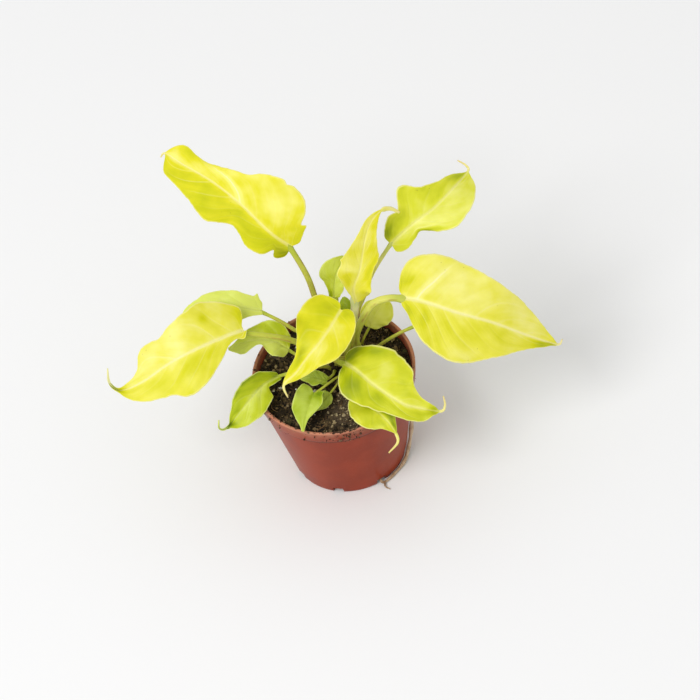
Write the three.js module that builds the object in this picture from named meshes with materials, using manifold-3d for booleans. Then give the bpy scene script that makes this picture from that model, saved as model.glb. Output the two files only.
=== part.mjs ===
// A potted golden philodendron: a small nursery pot, its filling of potting mix, the short stem,
// one solid for each leaf with its stalk, and a root that has grown out of a drain notch.
// Millimetres, +Z up. The origin is the middle of the pot's foot, on the surface it stands on.
import * as THREE from 'three';
import { mergeVertices } from 'three/addons/utils/BufferGeometryUtils.js';
import Module from 'manifold-3d';

const wasm = await Module();
wasm.setup();

// Driving dimensions of the pot.
const POT_HEIGHT = 54;
const RIM_RADIUS = 35;
const FOOT_RADIUS = 25;
const BAND_HEIGHT = 6.6;
const BAND_STEP = 0.8;
const WALL = 0.95;
const WALL_TOP_RADIUS = 33.6;
const FLOOR_TOP = 2.6;
const PAD_RADIUS = 13;
const CHANNEL_DEPTH = 1.4;
const NOTCH = { count: 8, first: -66, width: 4.6, height: 3.2, inner: 18.5, outer: 27.5 };

// Driving dimensions of the filling and the stem.
const CLEARANCE = 0.3;
const SOIL_LEVEL = 50;
const SOIL_RINGS = 7;
const SOIL_STEPS = 28;
const STEM_AT = [7, 8];
const STEM_MOUND = 0.9;
const STEM_HOLE = { radius: 7.5, sides: 18 };
const WELL_DEPTH = 44.7;
const WELL_TOP = 52;

// A blade is a thin slab. Its drip tip ends as a thread.
const BLADE_THICKNESS = 0.7;
const TIP_THICKNESS = 0.45;
const TIP_WIDTH = 0.5;
const EDGE_SWEEP = 0.03;

const GOLD = 0xe2dc3c;
const PALE_GOLD = 0xe6e25a;
const LIME = 0xc6d64a;
const GREEN = 0x86ac3a;

// One half of a blade: its edge as points [along the midrib, out from it], the angle at which it
// rises from the midrib, how much further it turns towards its edge (both in degrees), and its
// wave as [height, number of waves, phase].
const half = (edge, fold, cup, wave) => ({ edge, fold, cup, wave });

// Every leaf has a stalk, a midrib whose last `tail` points are the drip tip, the directions that
// its upper face looks in from base to tip, and its two halves.
const LEAVES = {
  leaf_upper_left: {
    stalk: [[3.5, 12, 45], [3.5, 12, 53], [-0.5, 16, 78], [-2.5, 21.5, 92]],
    radius: [1.45, 1.2],
    rib: [[-6, 28, 103.5], [-13.5, 30.5, 112.5], [-23, 40.5, 122.5], [-32.5, 52, 127],
      [-43.5, 67, 126], [-49.5, 75.5, 125.5], [-52, 76, 123.5]],
    tail: 1,
    facing: [[-0.35, -0.75, 0.7], [-0.05, -0.6, 0.8], [0.2, -0.75, 0.6]],
    left: half([[0, 5], [5, 6], [9, 9.5], [15, 11], [20.5, 9.5], [26, 9], [35, 14.5], [43, 13.5],
      [58, 9.5], [68, 7]], 8, -8, [1.6, 2.6, 0.15]),
    right: half([[-0.5, 5], [3, 11], [6, 15], [11, 21.5], [20, 22.5], [27, 18.5], [33, 12],
      [41, 8.5], [50, 6], [58, 6.5], [65, 7.5], [70, 5]], 22, -8, [1.8, 2.2, 0.4]),
    fine: true, colour: GOLD,
  },
  leaf_left_back: {
    stalk: [[2, 9, 45], [1.2, 9.2, 53], [-4, 11, 61], [-12, 13.5, 68], [-17.5, 16.5, 72.5]],
    radius: [0.95, 0.75],
    rib: [[-24, 21, 76.5], [-32.5, 22, 80], [-43, 25, 80.5], [-53, 28.5, 74.5],
      [-60.5, 31.5, 67.5]],
    tail: 0,
    facing: [[0, -0.4, 0.9], [0, -0.5, 0.9], [-0.3, -0.4, 0.8]],
    left: half([[0, 2], [5, 3.5], [12, 7], [22, 7.5], [33, 5], [40, 2.5]], 15, -20, [0.8, 1.5, 0]),
    right: half([[1, 4], [7, 6], [14, 7], [22, 6.8], [31, 5.2], [39, 2.5]], 15, -20, [0.8, 1.5, 0]),
    fine: true, colour: LIME,
  },
  leaf_left_big: {
    stalk: [[2.5, 5, 45], [2.5, 5, 53], [-3, 4, 61.5], [-17, 5, 74]],
    radius: [1.8, 0.95],
    rib: [[-33, 8.5, 81], [-39.5, 6, 82.5], [-53.5, 2, 83], [-66, 0.5, 79.5], [-78.5, 0, 72.5],
      [-88.5, 2, 67.5], [-93, 6.5, 68.5], [-92.5, 10.5, 73.5]],
    tail: 1,
    facing: [[0.1, -0.35, 0.9], [0, -0.5, 0.85], [-0.2, -0.4, 0.9]],
    left: half([[0, 3], [3, 5], [9, 4.5], [14, 8.5], [20, 13], [27, 16.5], [34, 16.5], [40, 12.5],
      [47, 10], [54, 7], [61, 2]], 8, -10, [1.5, 2.6, 0.1]),
    right: half([[0, 2], [-2, 6], [-2.5, 10], [1, 13], [7, 16.5], [13, 18], [20, 16], [28, 14],
      [34, 11.5], [40, 12.5], [45, 10.5], [50, 5], [57, 2.5]], 8, -10, [1.8, 2.2, 0.55]),
    fine: true, colour: PALE_GOLD,
  },
  leaf_left_small: {
    stalk: [[-2, 6, 45], [-2, 6, 51], [-6.5, 5, 55.5], [-11.5, 5.5, 58.5]],
    radius: [0.75, 0.6],
    rib: [[-16.5, 8, 63.5], [-22.5, 10.5, 68], [-31, 12, 69.5], [-41.5, 13.5, 65.5]],
    tail: 0,
    facing: [[0.2, -0.3, 0.9], [0, -0.4, 0.9]],
    left: half([[0, 2], [1.5, 5.5], [6, 7.5], [10, 5.5], [13, 3], [17, 4], [21, 5.5], [25, 3]],
      10, 10, [1.2, 1.6, 0]),
    right: half([[1, 4], [4.5, 6.5], [7, 8], [11, 8.5], [16, 5.5], [20, 3.5], [24.5, 1.5]],
      10, 10, [1.2, 1.6, 0]),
    fine: false, colour: LIME,
  },
  leaf_centre_front: {
    stalk: [[6.5, 3, 45], [6.5, 2.5, 56], [10.5, 3.5, 67], [12, 3, 80]],
    radius: [1.5, 1.1],
    rib: [[8.5, 3, 86.5], [-0.5, -6.5, 83.5], [-8.5, -11, 79], [-15, -12.5, 72],
      [-21.5, -12.5, 65.5], [-21, -15.5, 60.5]],
    tail: 1,
    facing: [[-0.3, -0.55, 0.75], [-0.35, -0.75, 0.6], [-0.4, -0.6, 0.6]],
    left: half([[-1, 2.5], [-1, 5.5], [2, 8], [7.5, 10], [13, 10.5], [19, 9], [26, 6], [33, 3.5]],
      -5, 12, [1.2, 1.8, 0.2]),
    right: half([[-1.5, 1.5], [-3.5, 4], [-3, 8], [-1, 11], [3, 13.5], [8, 15], [13, 14.5],
      [18, 12], [22, 8], [28, 4.5], [35, 3.5]], -5, 12, [1.2, 1.8, 0.2]),
    fine: true, colour: GOLD,
  },
  leaf_upright: {
    stalk: [[7.5, 13, 45], [7.5, 13.5, 56], [12, 12, 65.5], [14, 11.5, 74]],
    radius: [1.6, 1.3],
    rib: [[15.5, 11.5, 79.5], [15.5, 12.5, 87], [19.5, 14.5, 95], [22.5, 17.5, 103],
      [25, 19.5, 110], [28.5, 21.5, 115.5], [32.5, 23, 118], [37, 25, 117], [41, 25.5, 112.5]],
    tail: 2,
    facing: [[-0.1, -0.9, 0.4], [0.1, -0.9, 0.4], [0.3, -0.8, 0.4]],
    left: half([[1, 2.5], [6, 6], [12, 9.5], [17, 9.5], [22, 8.5], [27, 6.5], [33, 3.5], [39, 2.5]],
      15, 12, [0.8, 1.5, 0]),
    right: half([[2, 4], [7, 6.5], [12, 5.5], [18, 6], [23, 7], [28, 5.5], [34, 4], [40, 2.5]],
      15, 12, [0.8, 1.5, 0]),
    fine: true, colour: GOLD,
  },
  leaf_back_green: {
    stalk: [[4, 17, 45], [4, 17, 53], [7.5, 17, 60.5], [7, 19, 70]],
    radius: [1.2, 1.1],
    rib: [[7, 20.5, 75.5], [8.5, 24, 82], [11.5, 27.5, 89], [19, 33, 93.5]],
    tail: 0,
    facing: [[-0.3, -0.8, 0.3], [-0.2, -0.8, 0.5]],
    left: half([[0, 2], [4, 3], [7, 5], [10, 7.5], [13, 7.5], [17, 5.5], [21, 3]],
      20, 10, [0.6, 1.2, 0]),
    right: half([[1, 3], [6, 5], [12, 5.5], [18, 4.5], [22, 2.5]], 20, 10, [0.6, 1.2, 0]),
    fine: false, colour: LIME,
  },
  leaf_upper_right: {
    stalk: [[11, 11.5, 45], [11, 11.5, 54], [19.5, 14.5, 76.5], [25, 18.5, 88]],
    radius: [1, 0.85],
    rib: [[34.5, 23.5, 97], [44.5, 25, 104], [54.5, 27, 108.5], [64, 33, 111], [72.5, 43, 109],
      [72.5, 45.5, 110.5], [69.5, 47.5, 112.5]],
    tail: 2,
    facing: [[0.3, -0.8, 0.5], [0, -0.7, 0.7], [-0.3, -0.6, 0.7]],
    left: half([[1, 5], [4, 8.5], [8, 10], [11.5, 8.5], [13.5, 10.5], [16, 15], [19, 15.5],
      [26, 10.5], [33, 7], [42, 5]], -5, 10, [1.2, 1.9, 0]),
    right: half([[0, 3.5], [3, 4.5], [8, 4.5], [12, 4], [17, 5], [21, 8], [25, 12.5], [30, 12],
      [37, 10], [43, 6.5], [46, 3]], 12, 10, [1.2, 1.5, 0.3]),
    fine: true, colour: PALE_GOLD,
  },
  leaf_right_big: {
    stalk: [[12, 7.5, 45], [12.5, 7.5, 53], [12.5, 6.5, 65], [21, 5.5, 82], [29, 4, 86]],
    radius: [1.8, 1.5],
    rib: [[34, 3.5, 85.5], [43, -2.5, 86], [56, -9.5, 82.5], [68.5, -13.5, 77], [81.5, -15.5, 67],
      [93.5, -16, 57.5], [96.5, -14, 57.5]],
    tail: 1,
    facing: [[0.1, -0.4, 0.9], [0.1, -0.5, 0.85], [0.3, -0.5, 0.8]],
    left: half([[-2, 3], [-3, 7], [-3, 11], [-1, 16], [4, 19.5], [11, 21.5], [20, 21], [30, 19.5],
      [41, 16], [52, 12.5], [60, 8.5], [67, 4]], 6, -8, [1, 1.6, 0.2]),
    right: half([[1.5, 3.5], [5, 6.5], [9, 11], [16, 16.5], [24, 19.5], [31, 19.5], [40, 16.5],
      [50, 11], [58, 6], [64, 3.5]], -6, -8, [1.2, 1.4, 0]),
    fine: true, colour: PALE_GOLD,
  },
  leaf_round_back: {
    stalk: [[14, 13, 45], [14.5, 13, 51], [16, 13, 55]],
    radius: [0.6, 0.5],
    rib: [[19, 14.5, 58.5], [21.5, 17, 61.5], [25.5, 20.5, 63.5], [28, 24.5, 64.5]],
    tail: 0,
    facing: [[0.2, -0.5, 0.85]],
    left: half([[0, 2], [2, 5], [6, 6.5], [10, 5.5], [13, 3]], 5, -10, [0.4, 1, 0]),
    right: half([[0, 2], [1, 4], [4, 6.5], [8, 7], [12, 5]], 5, -10, [0.4, 1, 0]),
    fine: false, colour: LIME,
  },
  leaf_front_right: {
    stalk: [[10.5, 4, 45], [10.5, 4, 52], [10, -2, 59], [6, -7.5, 64.5]],
    radius: [1.3, 1],
    rib: [[5, -8.5, 66.5], [9, -14, 67], [14, -21, 65], [20, -28, 63], [26.5, -33.5, 61],
      [38, -36.5, 55.5], [41.5, -35.5, 57], [42, -32.5, 60.5]],
    tail: 2,
    facing: [[0.1, -0.5, 0.85], [0.1, -0.55, 0.8], [0.1, -0.5, 0.8]],
    left: half([[-1.5, 3], [-1.5, 6], [0, 8.5], [4, 11], [8, 14], [13, 16.5], [20, 16.5],
      [27, 14.5], [34, 11], [38, 7.5], [42, 4], [45, 2]], 5, -8, [1, 1.5, 0.1]),
    right: half([[1.5, 2.5], [3, 7], [6, 10], [11, 11.5], [17, 10.5], [24, 8.5], [31, 6],
      [37, 6], [42, 5], [45, 3]], 5, -8, [0.8, 1.6, 0.5]),
    fine: true, colour: GOLD,
  },
  leaf_front_low: {
    stalk: [[10.5, -0.5, 45], [10.5, -0.8, 51.5], [11, -10, 56.5]],
    radius: [0.8, 0.65],
    rib: [[10, -20, 57], [13.5, -29.5, 58], [17.5, -37, 57], [19.5, -40, 53],
      [19.5, -42.5, 49.5], [15, -44.5, 46.5]],
    tail: 2,
    facing: [[-0.1, -0.6, 0.8], [-0.1, -0.7, 0.6]],
    left: half([[-2, 3], [-1, 6], [3, 8], [9, 8], [15, 6.5], [19, 3.5]], -8, -12, [0.5, 1.2, 0]),
    right: half([[-2, 3], [-2, 6], [0, 8], [5, 9.5], [10, 9.5], [15, 7.5], [19, 4]],
      12, -5, [0.5, 1.2, 0]),
    fine: false, colour: LIME,
  },
  leaf_front_left: {
    stalk: [[-1, 3.5, 45], [-1.8, 3.5, 51.5], [-9, 2, 55.5], [-15.5, 0, 58]],
    radius: [0.8, 0.65],
    rib: [[-23, -1.5, 59], [-30, -5.5, 60], [-36.5, -11.5, 60], [-43, -15.5, 56.5],
      [-49, -17, 51.5], [-52, -16, 51], [-51.5, -13.5, 53.5]],
    tail: 2,
    facing: [[0.2, -0.6, 0.75], [0, -0.7, 0.75], [-0.1, -0.7, 0.7]],
    left: half([[0, 1], [4, 1.5], [7, 3], [11, 6], [15, 8], [20, 8], [26, 6], [31, 2.5]],
      8, 8, [0.7, 1.3, 0]),
    right: half([[0.5, 2], [4, 4], [9, 6.5], [15, 7.5], [20, 6.5], [25, 4], [30, 1.5]],
      8, 8, [0.7, 1.3, 0]),
    fine: false, colour: LIME,
  },
  leaf_front_heart: {
    stalk: [[5.5, -1, 45], [5.2, -1.8, 51.5], [2, -5.2, 54.8], [-2, -8.5, 56.4]],
    radius: [0.6, 0.5],
    rib: [[-8.5, -13, 58], [-12, -19.5, 58.5], [-15.5, -25.5, 57], [-18, -32, 56]],
    tail: 0,
    facing: [[0, -0.6, 0.8]],
    left: half([[-1.5, 1.5], [-0.5, 3.5], [3, 5], [7, 5], [12, 3], [16, 1.2]], 8, 8, [0.3, 1, 0]),
    right: half([[-1.5, 1.5], [-1.5, 3.5], [1.5, 6], [6, 7.5], [10, 6.5], [14, 4.5], [17, 2]],
      8, 8, [0.3, 1, 0]),
    fine: false, colour: GREEN,
  },
  leaf_front_tiny: {
    stalk: [[3, -0.5, 45], [2.5, -1, 51.5], [0.5, -7, 52.6]],
    radius: [0.5, 0.4],
    rib: [[-1.8, -12, 52.8], [-4.8, -15.2, 53], [-7.8, -17.4, 52.8], [-10.3, -18.8, 52.2]],
    tail: 0,
    facing: [[0, -0.6, 0.8]],
    left: half([[0, 1], [2, 2.5], [5, 3], [8, 2]], 8, 8, [0.2, 1, 0]),
    right: half([[0, 1.5], [2, 3.5], [5, 3.5], [8.5, 2]], 8, 8, [0.2, 1, 0]),
    fine: false, colour: GREEN,
  },
  leaf_low_green: {
    stalk: [[1, 1, 45], [0.5, 0.7, 51.5], [-0.7, -3.6, 54.5]],
    radius: [0.7, 0.5],
    rib: [[-3.5, -7, 55.8], [-7, -6.8, 58.3], [-10.5, -6.2, 60.3], [-14.5, -4.8, 58.8]],
    tail: 0,
    facing: [[0, -0.5, 0.85]],
    left: half([[0, 1.5], [3, 3.2], [7, 3.8], [11, 2]], 10, 12, [0.3, 1.3, 0]),
    right: half([[0, 1.5], [3, 2.8], [7, 3], [11, 1.8]], 10, 12, [0.3, 1.3, 0]),
    fine: false, colour: GREEN,
  },
  leaf_under_right: {
    stalk: [[15.5, 5, 45], [16, 5, 51], [21.5, 7.5, 53.8], [30, 7.5, 58.5]],
    radius: [0.85, 0.7],
    rib: [[37, 8.5, 61], [43, 5, 61], [48, 3, 57.5], [53.5, 1, 51]],
    tail: 0,
    facing: [[0.2, -0.3, 0.9]],
    left: half([[-1, 2], [1, 5.5], [6, 7.5], [12, 5.5], [17, 2.5]], 5, -10, [0.4, 1, 0]),
    right: half([[-1, 2], [1, 5.5], [6, 7.5], [12, 5.5], [17, 2.5]], 5, -10, [0.4, 1, 0]),
    fine: false, colour: LIME,
  },
  leaf_back_tiny: {
    stalk: [[11.5, 16.5, 45], [11.5, 16.5, 52], [10, 19, 58]],
    radius: [0.5, 0.4],
    rib: [[10.5, 22, 63], [11, 24, 65], [11, 28, 66]],
    tail: 0,
    facing: [[0, -0.7, 0.7]],
    left: half([[0, 1.5], [2, 3], [5, 2]], 10, 5, [0.2, 1, 0]),
    right: half([[0, 1.5], [2, 3], [5, 2]], 10, 5, [0.2, 1, 0]),
    fine: false, colour: GREEN,
  },
};

// The escaped root: it leaves a drain notch, follows the foot and climbs the wall a little.
const ROOT = {
  path: [[9.2, -20.8, 1.7], [10.9, -24.2, 1], [17, -20.2, 1], [21.8, -15.6, 1.6], [24.7, -11, 4],
    [27.1, -7.2, 9], [28.8, -4.6, 16]],
  radius: [0.75, 0.5],
  fork: [[11.4, -23.9, 1], [11.2, -26.6, 0.9], [12.9, -28.4, 0.8]],
  forkRadius: [0.55, 0.35],
};

const radians = THREE.MathUtils.degToRad;
const clamp = THREE.MathUtils.clamp;
const vector = (point) => new THREE.Vector3(...point);
const smoothCurve = (points) => new THREE.CatmullRomCurve3(points, false, 'catmullrom', 0.5);

// A closed geometry as a solid, turned the right way out whatever order its faces had.
function toSolid(geometry) {
  const bare = geometry.clone();
  bare.deleteAttribute('normal');
  bare.deleteAttribute('uv');
  const merged = mergeVertices(bare, 1e-4);
  const vertProperties = new Float32Array(merged.attributes.position.array);
  const triVerts = new Uint32Array(merged.index.array.length);
  let volume = 0;
  const corner = (i) => new THREE.Vector3().fromArray(vertProperties, 3 * merged.index.array[i]);
  const kept = [];
  for (let i = 0; i < merged.index.array.length; i += 3) {
    const [a, b, c] = [0, 1, 2].map((k) => merged.index.array[i + k]);
    if (a === b || b === c || c === a) continue;
    kept.push(a, b, c);
    volume += corner(i).dot(corner(i + 1).cross(corner(i + 2)));
  }
  for (let i = 0; i < kept.length; i += 3) {
    triVerts[i] = kept[i];
    triVerts[i + 1] = volume > 0 ? kept[i + 1] : kept[i + 2];
    triVerts[i + 2] = volume > 0 ? kept[i + 2] : kept[i + 1];
  }
  return new wasm.Manifold(new wasm.Mesh({
    numProp: 3, vertProperties, triVerts: triVerts.slice(0, kept.length),
  }));
}

// A solid back as a geometry for a mesh.
function toGeometry(solid) {
  const { vertProperties, triVerts } = solid.getMesh();
  const geometry = new THREE.BufferGeometry();
  geometry.setAttribute('position', new THREE.BufferAttribute(Float32Array.from(vertProperties), 3));
  geometry.setIndex(Array.from(triVerts));
  geometry.computeVertexNormals();
  return geometry;
}

function meshFrom(points, triangles) {
  const geometry = new THREE.BufferGeometry();
  const places = points.flatMap((point) => point.toArray());
  geometry.setAttribute('position', new THREE.Float32BufferAttribute(places, 3));
  geometry.setIndex(triangles);
  return geometry;
}

// A closed round tube along a curve, its radius running through the given values.
function tube(curve, radii, steps, sides) {
  const frames = curve.computeFrenetFrames(steps, false);
  const points = [];
  const triangles = [];
  for (let i = 0; i <= steps; i += 1) {
    const place = (i / steps) * (radii.length - 1);
    const before = Math.min(Math.floor(place), radii.length - 2);
    const radius = THREE.MathUtils.lerp(radii[before], radii[before + 1], place - before);
    const centre = curve.getPointAt(i / steps);
    for (let k = 0; k < sides; k += 1) {
      const angle = (2 * Math.PI * k) / sides;
      points.push(centre.clone()
        .addScaledVector(frames.normals[i], radius * Math.cos(angle))
        .addScaledVector(frames.binormals[i], radius * Math.sin(angle)));
    }
  }
  for (let i = 0; i < steps; i += 1) {
    for (let k = 0; k < sides; k += 1) {
      const a = i * sides + k;
      const b = i * sides + ((k + 1) % sides);
      triangles.push(a, b, b + sides, a, b + sides, a + sides);
    }
  }
  const last = steps * sides;
  for (let k = 1; k < sides - 1; k += 1) {
    triangles.push(0, k + 1, k);
    triangles.push(last, last + k, last + k + 1);
  }
  return toSolid(meshFrom(points, triangles));
}

// Pot: a turned wall and floor, with a rim band, a foot ring round a shallow channel, and notches.
function potWallRadius(z) {
  const top = POT_HEIGHT - BAND_HEIGHT;
  return FOOT_RADIUS + ((WALL_TOP_RADIUS - FOOT_RADIUS) * z) / top;
}

function makePot() {
  const bandFoot = POT_HEIGHT - BAND_HEIGHT;
  const profile = [
    [0, 0], [PAD_RADIUS, 0], [PAD_RADIUS + 1, CHANNEL_DEPTH],
    [FOOT_RADIUS - 4.5, CHANNEL_DEPTH], [FOOT_RADIUS - 3.5, 0], [FOOT_RADIUS - 0.4, 0],
    [potWallRadius(0.5), 0.5], [potWallRadius(bandFoot), bandFoot],
    [potWallRadius(bandFoot) + BAND_STEP, bandFoot + 0.5],
    [RIM_RADIUS - 0.1, POT_HEIGHT - 1.2], [RIM_RADIUS, POT_HEIGHT - 0.7],
    [RIM_RADIUS - 0.3, POT_HEIGHT], [RIM_RADIUS - 1, POT_HEIGHT],
    [RIM_RADIUS - 1.5, POT_HEIGHT - 0.6], [potWallRadius(bandFoot) - WALL, bandFoot - 0.5],
    [potWallRadius(FLOOR_TOP + 1) - WALL, FLOOR_TOP + 1],
    [potWallRadius(FLOOR_TOP) - WALL - 0.8, FLOOR_TOP], [0, FLOOR_TOP],
  ].map(([r, z]) => new THREE.Vector2(r, z));
  let solid = toSolid(new THREE.LatheGeometry(profile, 48).rotateX(Math.PI / 2));
  for (let i = 0; i < NOTCH.count; i += 1) {
    const angle = radians(NOTCH.first + (360 / NOTCH.count) * i);
    const cut = new THREE.BoxGeometry(NOTCH.outer - NOTCH.inner, NOTCH.width, NOTCH.height + 1)
      .translate((NOTCH.outer + NOTCH.inner) / 2, 0, (NOTCH.height - 1) / 2)
      .rotateZ(angle);
    solid = solid.subtract(toSolid(cut));
  }
  return solid;
}

// Potting mix: clods of a few sizes as sums of waves, and a low mound round the stem.
function soilHeight(x, y) {
  const clods = 0.35 * Math.sin(0.55 * x + 1.2) * Math.cos(0.48 * y - 0.6)
    + 0.22 * Math.sin(1.3 * x - 0.9 * y + 2)
    + 0.18 * Math.sin(0.7 * x + 2.1 * y);
  const distance = (x - STEM_AT[0]) ** 2 + (y - STEM_AT[1]) ** 2;
  return SOIL_LEVEL + clods + STEM_MOUND * Math.exp(-distance / 90);
}

function makeSoil(wells) {
  const foot = FLOOR_TOP + 1.3;
  const footRadius = potWallRadius(foot) - WALL - CLEARANCE;
  const topRadius = potWallRadius(POT_HEIGHT - BAND_HEIGHT) - WALL - CLEARANCE - 0.1;
  const bottom = FLOOR_TOP + CLEARANCE;
  const points = [new THREE.Vector3(0, 0, bottom), new THREE.Vector3(0, 0, soilHeight(0, 0))];
  const rings = [[footRadius - 1.6, bottom], [footRadius, foot], [topRadius, SOIL_LEVEL - 3]];
  const triangles = [];
  const ringStart = (i) => 2 + i * SOIL_STEPS;
  const addRing = (radius, height) => {
    for (let k = 0; k < SOIL_STEPS; k += 1) {
      const angle = (2 * Math.PI * k) / SOIL_STEPS;
      const x = radius * Math.cos(angle);
      const y = radius * Math.sin(angle);
      points.push(new THREE.Vector3(x, y, height ?? soilHeight(x, y)));
    }
  };
  rings.forEach(([radius, height]) => addRing(radius, height));
  for (let i = 0; i < SOIL_RINGS; i += 1) addRing((topRadius + 0.1) * (1 - i / SOIL_RINGS), null);
  const count = rings.length + SOIL_RINGS;
  for (let k = 0; k < SOIL_STEPS; k += 1) {
    const next = (k + 1) % SOIL_STEPS;
    triangles.push(0, ringStart(0) + next, ringStart(0) + k);
    for (let i = 0; i < count - 1; i += 1) {
      const [a, b] = [ringStart(i) + k, ringStart(i) + next];
      triangles.push(a, b, b + SOIL_STEPS, a, b + SOIL_STEPS, a + SOIL_STEPS);
    }
    triangles.push(1, ringStart(count - 1) + k, ringStart(count - 1) + next);
  }
  return wells.reduce((solid, well) => solid.subtract(well), toSolid(meshFrom(points, triangles)));
}

// One round hole holds the stem and the stalks that grow close round it.
function stemHole() {
  const height = 12;
  const { radius, sides } = STEM_HOLE;
  return toSolid(new THREE.CylinderGeometry(radius, radius, height, sides)
    .rotateX(Math.PI / 2)
    .translate(STEM_AT[0], STEM_AT[1], WELL_DEPTH + height / 2));
}

// Stem: a short knuckled column that the stalks stand round.
function makeStem() {
  const profile = [[0, 45], [2.3, 45], [2.8, 48], [2.5, 50.2], [2.9, 51.8], [2.3, 54], [2.5, 55.4],
    [1.5, 57.4], [0, 58]].map(([r, z]) => new THREE.Vector2(r, z));
  return toSolid(new THREE.LatheGeometry(profile, 14).rotateX(Math.PI / 2)
    .translate(STEM_AT[0], STEM_AT[1], 0));
}

// A leaf's own coordinates: x along its midrib, y out over a half blade.
class Leaf {
  constructor(spec) {
    this.spec = spec;
    this.curve = smoothCurve(spec.rib.map(vector));
    const spans = spec.rib.length - 1;
    this.curve.arcLengthDivisions = 60 * spans;
    const lengths = this.curve.getLengths();
    this.length = lengths[lengths.length - 1];
    this.bladeLength = lengths[60 * (spans - spec.tail)];
    this.edges = ['left', 'right'].map((side) => {
      const edge = [[0, 0.8], ...spec[side].edge, [this.bladeLength, TIP_WIDTH]];
      return smoothCurve(edge.map(([x, y]) => new THREE.Vector3(x, y, 0)));
    });
  }

  // Place on the midrib, with the directions along it, across it and out of the upper face.
  frame(x) {
    const inside = clamp(x, 0, this.length) / this.length;
    const along = this.curve.getTangentAt(inside);
    const place = this.curve.getPointAt(inside).addScaledVector(along, x - inside * this.length);
    const { facing } = this.spec;
    const step = clamp(x / this.bladeLength, 0, 1) * (facing.length - 1);
    const before = Math.max(Math.min(Math.floor(step), facing.length - 2), 0);
    const after = Math.min(before + 1, facing.length - 1);
    const up = vector(facing[before]).lerp(vector(facing[after]), step - before);
    up.addScaledVector(along, -up.dot(along)).normalize();
    return { place, along, up, across: new THREE.Vector3().crossVectors(along, up) };
  }

  // Point of the blade and the direction out of its upper face there: each half rises at its fold
  // angle, bends by its cup and carries its wave. On the midrib itself the face looks straight up.
  point(side, x, y) {
    const { edge, fold, cup, wave } = this.spec[side];
    const width = Math.max(...edge.map((p) => p[1]));
    const rise = radians(fold);
    const bend = radians(cup) / width;
    const out = (Math.sin(rise + bend * y) - Math.sin(rise)) / bend;
    const [height, count, phase] = wave;
    const lift = (Math.cos(rise) - Math.cos(rise + bend * y)) / bend
      + height * (y / width) ** 2 * Math.sin(2 * Math.PI * ((count * x) / this.bladeLength + phase));
    const { place, up, across } = this.frame(x);
    const outward = across.clone().multiplyScalar(side === 'left' ? -1 : 1);
    const tilt = y > 0 ? rise + bend * y : 0;
    const normal = up.clone().multiplyScalar(Math.cos(tilt)).addScaledVector(outward, -Math.sin(tilt));
    return { place: place.addScaledVector(outward, out).addScaledVector(up, lift), normal };
  }

  // Rows of points across the blade from its attachment to the end of its drip tip.
  rows() {
    const { fine, tail } = this.spec;
    const count = fine ? 13 : 8;
    const columns = fine ? 3 : 2;
    const rows = [];
    for (let i = 0; i <= count; i += 1) {
      const q = i / count;
      const rib = this.bladeLength * q ** 1.25;
      const row = [];
      for (let j = -columns; j <= columns; j += 1) {
        const v = Math.abs(j) / columns;
        const edge = this.edges[j < 0 ? 0 : 1].getPointAt(q);
        const sweep = EDGE_SWEEP * this.bladeLength * Math.sin(Math.PI * v) * clamp(4 * q, 0, 1) * (1 - q);
        const x = (1 - v) * rib + v * edge.x + sweep;
        row.push(this.point(j < 0 ? 'left' : 'right', x, v * Math.max(edge.y, TIP_WIDTH)));
      }
      rows.push(row);
    }
    const tipRows = tail ? 3 * tail : 0;
    for (let i = 1; i <= tipRows; i += 1) {
      const share = i / tipRows;
      const { place, up, across } = this.frame(THREE.MathUtils.lerp(this.bladeLength, this.length, share));
      const width = TIP_WIDTH * (1 - 0.55 * share);
      const row = [];
      for (let j = -columns; j <= columns; j += 1) {
        row.push({ place: place.clone().addScaledVector(across, (width * j) / columns), normal: up });
      }
      rows.push(row);
    }
    return { rows, blade: count };
  }

  // The blade as a slab: the rows moved half its thickness up and down and closed round the edge.
  // Each cell is split along its shorter diagonal, alike on both faces.
  slab() {
    const { rows, blade } = this.rows();
    const height = rows.length;
    const width = rows[0].length;
    const upper = [];
    const lower = [];
    rows.forEach((row, i) => row.forEach(({ place, normal }) => {
      const tip = clamp((i - blade) / Math.max(height - 1 - blade, 1), 0, 1);
      const offset = THREE.MathUtils.lerp(BLADE_THICKNESS, TIP_THICKNESS, tip) / 2;
      upper.push(place.clone().addScaledVector(normal, offset));
      lower.push(place.clone().addScaledVector(normal, -offset));
    }));
    const under = upper.length;
    const triangles = [];
    const at = (i, j) => i * width + j;
    for (let i = 0; i < height - 1; i += 1) {
      for (let j = 0; j < width - 1; j += 1) {
        const cell = [[i, j], [i, j + 1], [i + 1, j + 1], [i + 1, j]];
        const [a, b, c, d] = cell.map(([row, column]) => rows[row][column].place);
        const first = a.distanceTo(c) < b.distanceTo(d) ? 0 : 1;
        const corners = [0, 1, 2, 3].map((k) => at(...cell[(k + first) % 4]));
        [[0, 1, 2], [0, 2, 3]].forEach((three) => {
          const [p, q, r] = three.map((k) => corners[k]);
          triangles.push(p, q, r, under + p, under + r, under + q);
        });
      }
    }
    const close = (a, b) => triangles.push(a, b, under + b, a, under + b, under + a);
    for (let i = 0; i < height - 1; i += 1) {
      close(at(i, 0), at(i + 1, 0));
      close(at(i + 1, width - 1), at(i, width - 1));
    }
    for (let j = 0; j < width - 1; j += 1) {
      close(at(0, j + 1), at(0, j));
      close(at(height - 1, j), at(height - 1, j + 1));
    }
    return toSolid(meshFrom([...upper, ...lower], triangles));
  }

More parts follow.
